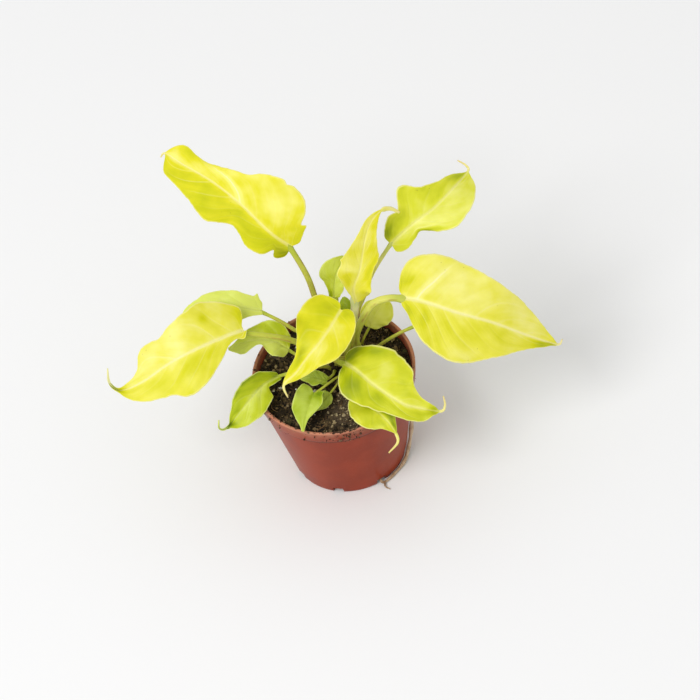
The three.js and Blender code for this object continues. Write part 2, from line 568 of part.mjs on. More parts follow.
  // Stalk and midrib as one tapering tube: up the stalk, then half sunk under the blade.
  stalkCurve() {
    const { stalk, radius } = this.spec;
    const under = [0.04, 0.13, 0.22, 0.32, 0.42, 0.52, 0.62, 0.71, 0.8].map((share) => {
      const { place, up } = this.frame(share * this.bladeLength);
      return place.addScaledVector(up, -radius[1] * (1 - 0.75 * share));
    });
    return smoothCurve([...stalk.map(vector), ...under]);
  }

  stalk() {
    const { radius, fine } = this.spec;
    const curve = this.stalkCurve();
    const steps = fine ? 14 : 10;
    const share = 1 - (0.76 * this.bladeLength) / curve.getLength();
    const samples = Array.from({ length: 21 }, (_, i) => {
      const u = i / 20;
      if (u < share) return THREE.MathUtils.lerp(radius[0], radius[1], u / share);
      return radius[1] * (1 - (0.7 * (u - share)) / (1 - share));
    });
    return tube(curve, samples, steps, fine ? 6 : 5);
  }

  standsApart() {
    const [x, y] = this.spec.stalk[0];
    return Math.hypot(x - STEM_AT[0], y - STEM_AT[1]) > STEM_HOLE.radius;
  }

  // Room for a stalk that stands in the potting mix by itself.
  well() {
    const curve = this.stalkCurve();
    const length = curve.getLength();
    const route = [vector(this.spec.stalk[0]).setZ(WELL_DEPTH)];
    for (let reach = 1.5; route.at(-1).z < WELL_TOP && reach < length; reach += 3) {
      route.push(curve.getPointAt(reach / length));
    }
    const radius = this.spec.radius[0] + 0.8;
    return tube(smoothCurve(route), [radius, radius], 5, 6);
  }

  solid() {
    return this.slab().add(this.stalk());
  }
}

function makeRoot() {
  const [thick, thin] = ROOT.radius;
  const main = tube(smoothCurve(ROOT.path.map(vector)), [thick, thick, thin], 22, 7);
  const fork = tube(smoothCurve(ROOT.fork.map(vector)), ROOT.forkRadius, 6, 6);
  return main.add(fork);
}

const group = new THREE.Group();

function addPart(name, solid, colour, roughness) {
  const material = new THREE.MeshStandardMaterial({ color: colour, roughness, metalness: 0 });
  const mesh = new THREE.Mesh(toGeometry(solid), material);
  mesh.name = name;
  group.add(mesh);
}

const leaves = Object.entries(LEAVES).map(([name, spec]) => ({ name, spec, leaf: new Leaf(spec) }));
addPart('pot', makePot(), 0x96493a, 0.42);
const outlying = leaves.filter(({ leaf }) => leaf.standsApart());
addPart('soil', makeSoil([stemHole(), ...outlying.map(({ leaf }) => leaf.well())]), 0x2e241d, 0.95);
addPart('crown', makeStem(), 0x8a9a3c, 0.6);
leaves.forEach(({ name, spec, leaf }) => addPart(name, leaf.solid(), spec.colour, 0.48));
addPart('drain_root', makeRoot(), 0xcdb894, 0.75);

export default group;
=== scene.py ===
"""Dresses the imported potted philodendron: its leaves, stem, potting mix, pot and drain root are
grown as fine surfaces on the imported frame, on a plain stage. Lengths are in millimetres until a
surface becomes a mesh, where they turn into metres."""

import math
from collections import namedtuple

import bpy
import numpy as np
from mathutils import Matrix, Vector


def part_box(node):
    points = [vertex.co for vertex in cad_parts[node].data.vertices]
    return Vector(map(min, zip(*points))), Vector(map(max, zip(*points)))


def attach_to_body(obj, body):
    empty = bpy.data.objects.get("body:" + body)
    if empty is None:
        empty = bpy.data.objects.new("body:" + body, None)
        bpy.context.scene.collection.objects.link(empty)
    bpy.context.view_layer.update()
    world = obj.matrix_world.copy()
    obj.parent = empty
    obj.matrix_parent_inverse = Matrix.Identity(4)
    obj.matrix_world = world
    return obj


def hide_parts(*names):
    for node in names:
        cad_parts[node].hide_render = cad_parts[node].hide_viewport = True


bl_info = {
    "name": "Potted Golden Philodendron",
    "version": (1, 0, 0),
    "blender": (4, 5, 0),
    "location": "3D View > Sidebar > Plant",
    "description": "Grows a golden philodendron in its nursery pot on the packed frame",
    "category": "Add Mesh",
}

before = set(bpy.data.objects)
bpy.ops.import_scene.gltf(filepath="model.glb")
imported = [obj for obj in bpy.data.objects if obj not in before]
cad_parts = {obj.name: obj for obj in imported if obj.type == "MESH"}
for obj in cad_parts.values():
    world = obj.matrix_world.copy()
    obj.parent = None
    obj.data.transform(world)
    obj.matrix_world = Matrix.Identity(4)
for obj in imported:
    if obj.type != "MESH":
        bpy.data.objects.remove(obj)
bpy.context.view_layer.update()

MM = 0.001
BODY = "root"

# Pot, from the frame and the part's driving dimensions.
POT_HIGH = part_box("pot")[1]
POT_HEIGHT = POT_HIGH.z / MM
RIM_RADIUS = POT_HIGH.x / MM
FOOT_RADIUS = 25
WALL_TOP_RADIUS = 33.6
BAND_HEIGHT = 6.6
BAND_FOOT = POT_HEIGHT - BAND_HEIGHT
BAND_STEP = 0.8
WALL = 0.95
FLOOR_TOP = 2.6
PAD_RADIUS = 13
CHANNEL_DEPTH = 1.4
NOTCH_COUNT = 8
NOTCH_FIRST = -66
NOTCH_WIDTH = 4.6
NOTCH_HEIGHT = 3.2
NOTCH_INNER = 18.5

# Potting mix and stem. The mix has dried round one place at the front.
CLEARANCE = 0.3
SOIL_LEVEL = 50
STEM_AT = np.array([7.0, 8.0])
STEM_MOUND = 0.9
DRY_AT = np.array([3.5, -21.0])

# Blades. The side veins start, and the margin ripples, differently on each side.
TIP_WIDTH = 0.5
EDGE_SWEEP = 0.03
RIB_POWER = 1.25
VEIN_SPACING = 9
VEIN_START = {"left": 0.35, "right": 0.8}
RIPPLES = {"left": 3.3, "right": 4.1}
BOLD = 1.3

# How fine the surfaces are: steps round, rings, and the length from which a blade has more rows.
POT_STEPS = 240
SOIL_STEPS = 380
SOIL_RINGS = 125
STALK_SIDES = 18
FINE_LENGTH = 34

# Where the random draws start.
RIM_SEED = 19
MIX_SEED = 7

# Stage. The camera looks as the photograph does: the directions to it, to its right and up, and
# how far beside and over the middle of the rim it aims.
CAMERA_AWAY = 1000
TO_CAMERA = np.array([0, -0.6455, 0.7638])
RIGHT = np.array([0.9767, -0.1640, -0.1386])
UP = np.array([0.2147, 0.7460, 0.6305])
POT_TOP = np.array([0, 0, POT_HEIGHT])
AIM_RIGHT = 7.118
AIM_UP = 8.05
LAMP_AT = np.array([-1200, -1000, 2000])
LAMP_AIM = np.array([0, 0, 80])
LAMP_SIZE = 1300
FLOOR_REACH = 4000

# Half a blade: its edge as (along the midrib, out from it), the angle at which it rises from the
# midrib, how much further it turns towards its edge, and its wave as (height, number of waves,
# phase). Its rolls turn a stretch of it up, as (middle, spread, where on the way out it starts,
# with 0 for the whole width, degrees), and its nicks cut into the edge, as (middle, spread, share
# of the width).
Half = namedtuple("Half", "edge fold cup wave rolls nicks", defaults=[(), ()])

# A leaf: the points of its stalk and its thickness there, the points of its midrib and how many of
# them are the drip tip, the directions its upper face looks in from base to tip, its two halves,
# its kind, and how much deeper its colour is on the left, on the right, at the base and at the tip.
# Patches make it deeper too, as (along, across, spread along, spread across, how much), where
# across goes from -1 on the left to 1 on the right. Then come its boldest side veins as (-1 for
# left or 1 for right, number from the base), how quilted it is, how olive its stalk is, how wide
# its drip tip is, and its slot in the record where that isn't its kind, which the script reads but
# doesn't use.
# The shade and the patches are partly the leaf's own tone and partly painted light and shade: they
# deepen the colour where a part turns from the light or lies under other leaves, and pale it as a
# painted highlight where light falls on it and on leaves that lie in shade.
Leaf = namedtuple(
    "Leaf", "stalk radius rib tail facing left right tone shade patches bold quilt stem tip slot",
    defaults=[(0, 0, 0, 0), (), (), 1, 0, 1, ""])

# The tints of a kind of leaf, as they look on a screen: pale, middle, deep and dark, and its
# midrib, with how plain its veins are.
Tone = namedtuple("Tone", "pale middle deep dark rib veins")

# A sheath at the stem: the way it faces and how far it wraps, its foot and top, how far out it
# starts, and how far it leans out by its top.
Sheath = namedtuple("Sheath", "angle spread low high out lean")

# Every leaf of the plant.
LEAVES = {
    "leaf_upper_left": Leaf(
        stalk=[(3.5, 12, 45), (3.5, 12, 53), (-0.5, 16, 78), (-2.5, 21.5, 92)], radius=(1.45, 1.2),
        rib=[(-6, 28, 103.5), (-13.5, 30.5, 112.5), (-23, 40.5, 122.5), (-32.5, 52, 127),
            (-43.5, 67, 126), (-49.5, 75.5, 125.5), (-52, 76, 123.5)], tail=1,
        facing=[(-0.35, -0.75, 0.7), (-0.05, -0.6, 0.8), (0.2, -0.75, 0.6)],
        left=Half([(-1, 5), (0.5, 7.2), (4, 7.4), (5.8, 5.2), (9, 9.5), (15, 11), (20.5, 9.5),
            (26, 9), (35, 14.5), (43, 13.5), (58, 9.5), (68, 7)], fold=8, cup=-8,
            wave=(1.6, 2.6, 0.15), rolls=[(0.05, 0.05, 0.3, -35)]),
        right=Half([(-0.5, 5), (3, 11), (6, 15), (11, 21.5), (20, 22.5), (27, 18.5), (33, 12),
            (41, 8.5), (50, 6), (58, 6.5), (65, 7.5), (70, 5)], fold=22, cup=-8,
            wave=(1.8, 2.2, 0.4), rolls=[(0.76, 0.1, 0.45, -45)], nicks=[(0.125, 0.016, -0.12),
            (0.165, 0.02, 0.14), (0.36, 0.012, 0.06)]),
        tone="gold", shade=(0.65, -0.3, 0.5, -0.1), quilt=0.8, stem=0.4, bold=[(1, 5)],
        patches=[(0.05, -0.7, 0.06, 0.4, 0.9), (0.12, 0.85, 0.05, 0.3, 0.8),
            (0.2, -0.6, 0.12, 0.4, 0.5), (0.85, 0.7, 0.09, 0.35, 0.8), (0.3, 0.5, 0.12, 0.3, -0.6),
            (0.36, -0.85, 0.08, 0.2, -0.5), (0.93, 0, 0.05, 0.5, -0.5)]),
    "leaf_left_back": Leaf(
        stalk=[(2, 9, 45), (1.2, 9.2, 53), (-4, 11, 61), (-12, 13.5, 68), (-17.5, 16.5, 72.5)],
        radius=(0.95, 0.75),
        rib=[(-24, 21, 76.5), (-32.5, 22, 80), (-43, 25, 80.5), (-53, 28.5, 74.5),
            (-60.5, 31.5, 67.5)], tail=0,
        facing=[(0, -0.4, 0.9), (0, -0.5, 0.9), (-0.3, -0.4, 0.8)],
        left=Half([(0, 2), (5, 3.5), (12, 7), (22, 7.5), (33, 5), (40, 2.5)], fold=15, cup=-20,
            wave=(0.8, 1.5, 0)),
        right=Half([(1, 4), (7, 6), (14, 7), (22, 6.8), (31, 5.2), (39, 2.5)], fold=15, cup=-20,
            wave=(0.8, 1.5, 0), nicks=[(0.12, 0.02, -0.35)]),
        tone="lime", shade=(-0.8, -1.2, -0.3, 1.5), stem=0.2),
    "leaf_left_big": Leaf(
        stalk=[(2.5, 5, 45), (2.5, 5, 53), (-3, 4, 61.5), (-17, 5, 74)], radius=(1.8, 0.95),
        rib=[(-33, 8.5, 81), (-39.5, 6, 82.5), (-53.5, 2, 83), (-66, 0.5, 79.5), (-78.5, 0, 72.5),
            (-88.5, 2, 67.5), (-93, 6.5, 68.5), (-92.5, 10.5, 73.5)], tail=1,
        facing=[(0.1, -0.35, 0.9), (0, -0.5, 0.85), (-0.2, -0.4, 0.9)],
        left=Half([(-0.5, 2.5), (2, 4.2), (4.5, 3), (9, 4.2), (14, 8.5), (20, 13), (27, 16.5),
            (34, 16.5), (40, 12.5), (47, 10), (54, 7), (61, 2)], fold=8, cup=-10,
            wave=(1.5, 2.6, 0.1), rolls=[(0.02, 0.03, 0.3, 110), (0.94, 0.06, 0, 45)]),
        right=Half([(0, 2), (-2, 6), (-2.5, 10), (1, 13), (7, 16.5), (13, 18), (20, 16), (28, 14),
            (34, 11.5), (40, 12.5), (45, 10.5), (50, 5), (57, 2.5)], fold=8, cup=-10,
            wave=(1.8, 2.2, 0.55), rolls=[(0.94, 0.06, 0, 55)]),
        tone="pale_gold", shade=(0.35, -0.1, 0.35, 1.1), stem=0.1,
        patches=[(0.3, 0.6, 0.03, 0.14, 1.1), (0.1, 0.8, 0.05, 0.25, 1.2),
            (0.35, -0.35, 0.15, 0.25, 0.45), (0.94, 0, 0.05, 0.9, 1.3), (1.15, 0, 0.16, 2, 5),
            (0.55, 0.6, 0.15, 0.35, -0.5), (0.8, -0.5, 0.07, 0.4, -0.6)]),
    "leaf_left_small": Leaf(
        stalk=[(-2, 6, 45), (-2, 6, 51), (-6.5, 5, 55.5), (-11.5, 5.5, 58.5)], radius=(0.75, 0.6),
        rib=[(-16.5, 8, 63.5), (-22.5, 10.5, 68), (-31, 12, 69.5), (-41.5, 13.5, 65.5)], tail=0,
        facing=[(0.2, -0.3, 0.9), (0, -0.4, 0.9)],
        left=Half([(0, 2), (1.5, 5.5), (6, 7.5), (10, 5.5), (13, 3), (17, 4), (21, 5.5), (25, 3)],
            fold=10, cup=10, wave=(1.2, 1.6, 0), rolls=[(0.55, 0.12, 0.4, 50)]),
        right=Half([(1, 4), (4.5, 6.5), (7, 8), (11, 8.5), (16, 5.5), (20, 3.5), (24.5, 1.5)],
            fold=10, cup=10, wave=(1.2, 1.6, 0)),
        tone="lime", shade=(-0.8, -0.3, 0.3, -0.9), quilt=1.4,
        patches=[(0.35, 0.6, 0.15, 0.4, 0.9), (0.5, -0.4, 0.2, 0.3, -0.5)]),
    "leaf_centre_front": Leaf(
        stalk=[(6.5, 3, 45), (6.5, 2.5, 56), (10.5, 3.5, 67), (12, 3, 80)], radius=(1.5, 1.1),
        rib=[(8.5, 3, 86.5), (-0.5, -6.5, 83.5), (-8.5, -11, 79), (-15, -12.5, 72),
            (-21.5, -12.5, 65.5), (-21, -15.5, 60.5)], tail=1,
        facing=[(-0.3, -0.55, 0.75), (-0.35, -0.75, 0.6), (-0.4, -0.6, 0.6)],
        left=Half([(-0.9, 1.2), (-1.7, 3.2), (-1.1, 5.4), (0.6, 7.2), (3.7, 9.1), (9, 10.3),
            (15, 10.1), (20, 8.8), (26, 6), (33, 3.5)], fold=-5, cup=12, wave=(1.2, 1.8, 0.2)),
        right=Half([(-1.3, 1.1), (-2.5, 2.5), (-3, 5.5), (-2.8, 8.6), (-1.6, 11.6), (2.5, 14),
            (8, 15), (13, 14.5), (18, 12), (22, 8), (28, 4.5), (35, 3.5)], fold=-5, cup=12,
            wave=(1.2, 1.8, 0.2)),
        tone="gold", shade=(0.1, 0.35, 0.5, -0.7), quilt=0.6, stem=-0.2, tip=1.2,
        patches=[(0.16, 0.55, 0.09, 0.4, 1.5), (0.06, -0.5, 0.07, 0.6, 0.9),
            (0.3, 0.6, 0.2, 0.3, 0.2), (0.45, -0.3, 0.12, 0.2, -0.6), (0.5, 0.6, 0.2, 0.4, 0.2),
            (0.72, 0.42, 0.1, 0.35, 1.6), (0.25, 0.85, 0.2, 0.2, -0.5)]),
    "leaf_upright": Leaf(
        stalk=[(7.5, 13, 45), (7.5, 13.5, 56), (12, 12, 65.5), (14, 11.5, 74)], radius=(1.8, 1.8),
        rib=[(15.5, 11.5, 79.5), (15.5, 12.5, 87), (19.5, 14.5, 95), (22.5, 17.5, 103),
            (25, 19.5, 110), (28.5, 21.5, 115.5), (33, 23, 118.4), (37, 24.5, 116.8),
            (40.5, 25, 112.8)], tail=2,
        facing=[(-0.1, -0.9, 0.4), (0.1, -0.9, 0.4), (0.3, -0.8, 0.4)],
        left=Half([(-0.5, 1), (4.5, 1.5), (9, 4.5), (12.5, 8.6), (15, 9), (18.5, 8.8), (23, 8.3),
            (27, 6.6), (33, 3.7), (40, 2.6)], fold=5, cup=8, wave=(0.8, 1.5, 0),
            nicks=[(0.5, 0.015, -0.1)]),
        right=Half([(1.5, 3.4), (4.5, 6.4), (9, 7.2), (12.5, 6.4), (16, 5.4), (19, 6), (23, 7.2),
            (28, 5.7), (34, 4.3), (40, 2.9)], fold=7, cup=8, wave=(0.8, 1.5, 0)),
        tone="gold", shade=(-0.5, -0.15, -0.2, -0.3), quilt=0.6, stem=-2, tip=2,
        patches=[(0.27, -0.5, 0.09, 0.3, 0.8), (0.5, 0.75, 0.25, 0.2, 0.6),
            (0.1, -0.6, 0.07, 0.4, -0.6), (0.42, -0.6, 0.035, 0.4, -0.9), (1.1, 0, 0.15, 2, 2.2)]),
    "leaf_back_green": Leaf(
        stalk=[(4, 17, 45), (4, 17, 53), (7.5, 17, 60.5), (7, 19, 70)], radius=(1.2, 1.1),
        rib=[(7, 20.5, 75.5), (8.5, 23.5, 81), (11, 26, 86), (16, 29.5, 88)], tail=0,
        facing=[(-0.3, -0.8, 0.3), (-0.2, -0.8, 0.5)],
        left=Half([(0, 2), (4, 3), (7, 5), (9.5, 7.5), (12, 7.3), (15, 5), (18, 2.5)], fold=20,
            cup=10, wave=(0.6, 1.2, 0)),
        right=Half([(1, 3), (6, 5), (10, 5.5), (14, 4.5), (18, 2.5)], fold=20, cup=10,
            wave=(0.6, 1.2, 0)),
        tone="lime", shade=(-0.45, -0.35, 0.4, 0.1),
        patches=[(0.1, -0.7, 0.14, 0.5, 1.6)]),
    "leaf_upper_right": Leaf(
        stalk=[(10.5, 13.5, 45), (10.5, 13.5, 54), (14.5, 16.5, 66), (19.5, 16.5, 77),
            (25, 18.5, 88)], radius=(1, 0.85),
        rib=[(34.5, 23.5, 97), (44.5, 25, 104), (54.5, 27, 108.5), (64, 33, 111), (72.5, 43, 109),
            (72.5, 45.5, 110.5), (69.5, 47.5, 112.5)], tail=2,
        facing=[(0.3, -0.8, 0.5), (0, -0.7, 0.7), (-0.3, -0.6, 0.7)],
        left=Half([(1, 5), (4, 8.5), (8, 10), (11.5, 8.5), (13.5, 10.5), (16, 15), (19, 15.5),
            (26, 10.5), (33, 7), (42, 5)], fold=-5, cup=10, wave=(1.2, 1.9, 0),
            rolls=[(0.13, 0.1, 0.3, 65)]),
        right=Half([(-0.5, 4), (2, 5.8), (6, 6.2), (10, 5.2), (13, 4.6), (17, 6.5), (21, 9.5),
            (25, 12.5), (30, 12), (37, 10), (43, 6.5), (46, 3)], fold=12, cup=10,
            wave=(1.2, 1.5, 0.3), rolls=[(0.32, 0.1, 0.5, -55)]),
        tone="chartreuse", shade=(0.1, -0.45, 0.6, 0.4), stem=-1, slot="pale_gold",
        patches=[(0.22, -0.6, 0.1, 0.4, 0.9), (0.08, -0.7, 0.06, 0.4, 0.7),
            (0.9, -0.4, 0.07, 0.5, 1.1), (0.34, 0.9, 0.13, 0.22, 1.3),
            (0.34, 0.6, 0.12, 0.06, -0.9), (0.55, 0.2, 0.15, 0.4, -0.3)]),
    "leaf_right_big": Leaf(
        stalk=[(12, 7.5, 45), (12.5, 7.5, 53), (12.5, 6.5, 65), (21, 5.5, 82), (29, 4, 86)],
        radius=(1.8, 1.5),
        rib=[(34, 3.5, 85.5), (43, -2.5, 86), (56, -9.5, 82.5), (68.5, -13.5, 77),
            (81.5, -15.5, 67), (93.5, -16, 57.5), (96.5, -14, 57.5)], tail=1,
        facing=[(0.1, -0.4, 0.9), (0.1, -0.5, 0.85), (0.3, -0.5, 0.8)],
        left=Half([(-2, 3), (-3, 7), (-3, 11), (-1, 16), (4, 19.5), (11, 21.5), (20, 21),
            (30, 19.5), (41, 16), (52, 12.5), (60, 8.5), (67, 4)], fold=6, cup=-8,
            wave=(1, 1.6, 0.2), rolls=[(0.13, 0.08, 0.4, 25), (0.98, 0.03, 0, 30)]),
        right=Half([(1.5, 3.5), (5, 6.5), (9, 11), (16, 16.5), (24, 19.5), (31, 19.5), (40, 16.5),
            (50, 11), (58, 6), (64, 3.5)], fold=-6, cup=-8, wave=(1.2, 1.4, 0),
            rolls=[(0.96, 0.035, 0, 40)]),
        tone="pale_gold", shade=(-0.35, 0.3, 0.5, 0.9), stem=-0.6, bold=[(-1, 2)],
        patches=[(0.07, -0.85, 0.07, 0.25, 1), (0.14, -0.62, 0.05, 0.12, 0.8),
            (0.1, 0.6, 0.06, 0.5, 0.8), (0.22, 0.5, 0.035, 0.4, 0.8), (0.42, 0.35, 0.07, 0.14, 0.5),
            (0.9, 0.5, 0.06, 0.5, 1.6), (0.4, -0.45, 0.12, 0.3, -0.6),
            (0.47, 0.85, 0.15, 0.2, -0.5)]),
    "leaf_round_back": Leaf(
        stalk=[(14, 13, 45), (14.5, 13, 51), (16, 13, 55)], radius=(0.6, 0.5),
        rib=[(19, 14.5, 58.5), (21.5, 17, 61.5), (25.5, 20.5, 63.5), (28, 24.5, 64.5)], tail=0,
        facing=[(0.2, -0.5, 0.85)],
        left=Half([(0, 2), (2, 5), (6, 6.5), (10, 5.5), (13, 3)], fold=5, cup=-10,
            wave=(0.4, 1, 0)),
        right=Half([(0, 2), (1, 4), (4, 6.5), (8, 7), (12, 5)], fold=5, cup=-10, wave=(0.4, 1, 0)),
        tone="chartreuse", shade=(-0.5, -0.6, 0.4, -0.1), quilt=0.6, slot="lime"),
    "leaf_front_right": Leaf(
        stalk=[(9.5, 4, 45), (9, 3.5, 53), (3.5, -1, 61), (1.5, -5, 65.6)], radius=(1.3, 1.1),
        rib=[(5, -8.5, 66.5), (9, -14, 67), (14, -21, 65), (20, -28, 63), (26.5, -33.5, 61),
            (38.8, -36.3, 56), (41.8, -35.2, 57.4), (42, -32.5, 60.5)], tail=2,
        facing=[(0.1, -0.5, 0.85), (0.1, -0.55, 0.8), (0.1, -0.5, 0.8)],
        left=Half([(-1.5, 3), (-1.5, 6), (0, 8.5), (4, 11), (8, 14), (13, 16.5), (20, 16.5),
            (27, 14.3), (32, 11.2), (36, 7.4), (40, 4.2), (45, 2.4)], fold=5, cup=-8,
            wave=(1, 1.5, 0.1), rolls=[(0.94, 0.05, 0, 30)]),
        right=Half([(1.5, 2.5), (3, 7), (6, 10), (11, 11.5), (17, 10.5), (24, 8.5), (31, 6),
            (37, 6), (42, 5), (45, 3)], fold=5, cup=-8, wave=(0.8, 1.6, 0.5),
            rolls=[(0.07, 0.05, 0.4, 75), (0.94, 0.05, 0, 35)]),
        tone="chartreuse", shade=(0.2, 0.5, 0.5, 0.3), tip=1.1, slot="gold",
        patches=[(0.07, -0.5, 0.08, 0.5, 1.9), (0.22, -0.85, 0.13, 0.22, 1.4),
            (0.42, -0.5, 0.13, 0.35, -0.7), (0.25, 0.55, 0.12, 0.4, 1.1),
            (0.52, 0.4, 0.07, 0.3, 0.6), (0.97, 0, 0.04, 0.9, 0.7)]),
    "leaf_front_low": Leaf(
        stalk=[(10.5, -0.5, 45), (10.5, -0.8, 51.5), (11, -10, 56.5)], radius=(0.8, 0.65),
        rib=[(10, -20, 57), (13.5, -29.5, 58), (17.5, -37, 57), (19.5, -40, 53),
            (19.5, -42.5, 49.5), (15, -44.5, 46.5)], tail=2,
        facing=[(-0.1, -0.6, 0.8), (-0.1, -0.7, 0.6)],
        left=Half([(-2, 3), (-1, 6), (3, 8), (9, 8), (15, 6.5), (19, 3.5)], fold=-8, cup=-12,
            wave=(0.5, 1.2, 0)),
        right=Half([(-2, 3), (-2, 6), (0, 8), (5, 9.5), (10, 9.5), (15, 7.5), (19, 4)], fold=12,
            cup=-5, wave=(0.5, 1.2, 0)),
        tone="chartreuse", shade=(1.8, 0.6, 0.3, -0.3), quilt=0.5, tip=1.2, slot="lime",
        patches=[(0.5, -0.6, 0.3, 0.4, 0.9), (0.45, 0.5, 0.2, 0.3, -0.4),
            (0.3, 0.85, 0.3, 0.12, -0.5)]),
    "leaf_front_left": Leaf(
        stalk=[(-1, 3.5, 45), (-1.8, 3.5, 51.5), (-9, 2, 55.5), (-15.5, 0, 58)], radius=(0.8, 0.65),
        rib=[(-23, -1.5, 59), (-30, -5.5, 60), (-36.5, -11.5, 60), (-43, -15.5, 56.5),
            (-49, -17, 51.5), (-52, -16, 51), (-51.5, -13.5, 53.5)], tail=2,
        facing=[(0.2, -0.6, 0.75), (0, -0.7, 0.75), (-0.1, -0.7, 0.7)],
        left=Half([(0, 1.8), (3, 2.4), (6.5, 2), (7.5, 3.4), (8.6, 6.3), (12, 7.4), (15, 8),
            (20, 8), (26, 6), (31, 2.5)], fold=8, cup=8, wave=(0.7, 1.3, 0),
            rolls=[(0.08, 0.06, 0.2, 60), (0.93, 0.06, 0, 55)]),
        right=Half([(0.5, 2), (4, 4), (9, 6.5), (15, 7.5), (20, 6.5), (25, 4), (30, 1.5)], fold=8,
            cup=8, wave=(0.7, 1.3, 0), rolls=[(0.93, 0.06, 0, 55)]),
        tone="lime", shade=(0.1, 0.6, 0.6, 1.4), quilt=1.9,
        patches=[(1.15, 0, 0.16, 2, 4.5), (0.45, 0.95, 0.3, 0.15, 0.7), (0.07, 0, 0.08, 0.9, 0.7),
            (0.93, 0, 0.05, 0.9, 0.8), (0.6, -0.3, 0.15, 0.4, -0.4)]),
    "leaf_front_heart": Leaf(
        stalk=[(5.5, -1, 45), (5.2, -1.8, 51.5), (2, -5.2, 54.8), (-2, -8.5, 56.4)],
        radius=(0.6, 0.5),
        rib=[(-10, -13.8, 57.8), (-12.8, -19.8, 58.3), (-15.6, -25.5, 57.1), (-17.9, -31.2, 56)],
        tail=0,
        facing=[(0, -0.6, 0.8)],
        left=Half([(-1.2, 1.6), (-1.6, 3), (-0.5, 5), (3.2, 6.2), (6.5, 5.4), (9.5, 3.6), (13, 1.4),
            (16, 0.8)], fold=8, cup=8, wave=(0.3, 1, 0), rolls=[(0.3, 0.22, 0.4, 85)]),
        right=Half([(-1.6, 1.5), (-2.4, 3.6), (-1.6, 5.8), (1.5, 7), (6, 7.4), (11, 6.6),
            (14.5, 3.8), (17, 1.6)], fold=8, cup=8, wave=(0.3, 1, 0)),
        tone="green", shade=(-0.2, -0.6, 0.2, 0), quilt=0.5,
        patches=[(0.2, 0.5, 0.15, 0.4, -0.3), (0.92, 0, 0.08, 0.9, 0.5),
            (0.12, -0.45, 0.16, 0.4, 1.1), (0.25, 0.15, 0.25, 0.16, 0.9),
            (0.62, -0.6, 0.2, 0.4, -0.9)]),
    "leaf_front_tiny": Leaf(
        stalk=[(3, -0.5, 45), (2.5, -1, 51.5), (0.5, -7, 52.6)], radius=(0.5, 0.4),
        rib=[(-3.6, -12, 53), (-6.6, -15.2, 53.2), (-9.6, -17.4, 53), (-12, -18.8, 52.3)], tail=0,
        facing=[(0, -0.6, 0.8)],
        left=Half([(0, 1), (2, 2.5), (5, 3), (8, 2)], fold=8, cup=8, wave=(0.2, 1, 0)),
        right=Half([(0, 1.5), (2, 3.5), (5, 3.5), (8.5, 2)], fold=8, cup=8, wave=(0.2, 1, 0)),
        tone="green", shade=(-0.7, -0.7, 0.2, 0)),
    "leaf_low_green": Leaf(
        stalk=[(1, 1, 45), (0.5, 0.7, 51.5), (-0.7, -3.6, 54.5)], radius=(0.7, 0.5),
        rib=[(-3.5, -7, 55.8), (-7, -6.8, 58.3), (-10.5, -6.2, 60.3), (-14.5, -4.8, 58.8)], tail=0,
        facing=[(0, -0.5, 0.85)],
        left=Half([(0, 1.5), (3, 3.2), (7, 3.8), (11, 2)], fold=10, cup=12, wave=(0.3, 1.3, 0),
            rolls=[(0.3, 0.1, 0.3, 70)]),
        right=Half([(0, 1.5), (3, 2.8), (7, 3), (11, 1.8)], fold=10, cup=12, wave=(0.3, 1.3, 0)),
        tone="green", shade=(-0.5, -0.4, 0.3, 0.3), quilt=2),
    "leaf_under_right": Leaf(
        stalk=[(15.5, 5, 45), (16, 5, 51), (21.5, 7.5, 53.8), (30, 7.5, 58.5)], radius=(0.85, 0.7),
        rib=[(37, 8.5, 61), (43, 5, 61), (48, 3, 57.5), (53.5, 1, 51)], tail=0,
        facing=[(0.2, -0.3, 0.9)],
        left=Half([(-1, 2), (1, 5.5), (6, 7.5), (12, 5.5), (17, 2.5)], fold=5, cup=-10,
            wave=(0.4, 1, 0)),
        right=Half([(1, 1), (3.5, 1.8), (7, 4), (11, 4.8), (14, 4), (17, 2.5)], fold=5, cup=-10,
            wave=(0.4, 1, 0)),
        tone="lime"),
    "leaf_back_tiny": Leaf(
        stalk=[(11.5, 16.5, 45), (11.5, 16.5, 52), (10, 19, 58)], radius=(0.5, 0.4),
        rib=[(10.5, 22, 63), (11, 24, 65), (11, 28, 66)], tail=0,
        facing=[(0, -0.7, 0.7)],
        left=Half([(0, 1.5), (2, 3), (5, 2)], fold=10, cup=5, wave=(0.2, 1, 0)),
        right=Half([(0, 1.5), (2, 3), (5, 2)], fold=10, cup=5, wave=(0.2, 1, 0)),
        tone="green"),
}

# The tints of each kind of leaf.
TONES = {
    "gold": Tone((238, 232, 116), (222, 216, 28), (200, 201, 2), (178, 180, 2),
        (244, 235, 160), 0.9),
    "pale_gold": Tone((238, 233, 132), (226, 221, 72), (210, 208, 8), (180, 184, 4),
        (244, 237, 172), 0.75),
    "chartreuse": Tone((230, 230, 116), (212, 214, 44), (182, 191, 4), (138, 154, 4),
        (240, 234, 158), 0.45),
    "lime": Tone((214, 222, 100), (192, 203, 30), (162, 178, 4), (112, 132, 6),
        (226, 230, 142), 0.4),
    "green": Tone((198, 214, 88), (170, 190, 30), (134, 160, 6), (80, 110, 6),
        (210, 222, 120), 0.15),
}

# The short stem, as (height, radius), and the sheaths round it.
STEM_KNOTS = [(45, 2.2), (48, 2.8), (50.2, 2.5), (51.8, 2.9), (54, 2.3), (55.4, 2.5), (57.4, 1.5),
    (58, 0.2)]
SHEATHS = [
    Sheath(-115, 0.75, 50.5, 60.5, 3.4, 4.8),
    Sheath(150, 0.6, 50.2, 56.5, 3.2, 2.6),
    Sheath(20, 0.6, 50.2, 57.5, 3.4, 2.2),
]

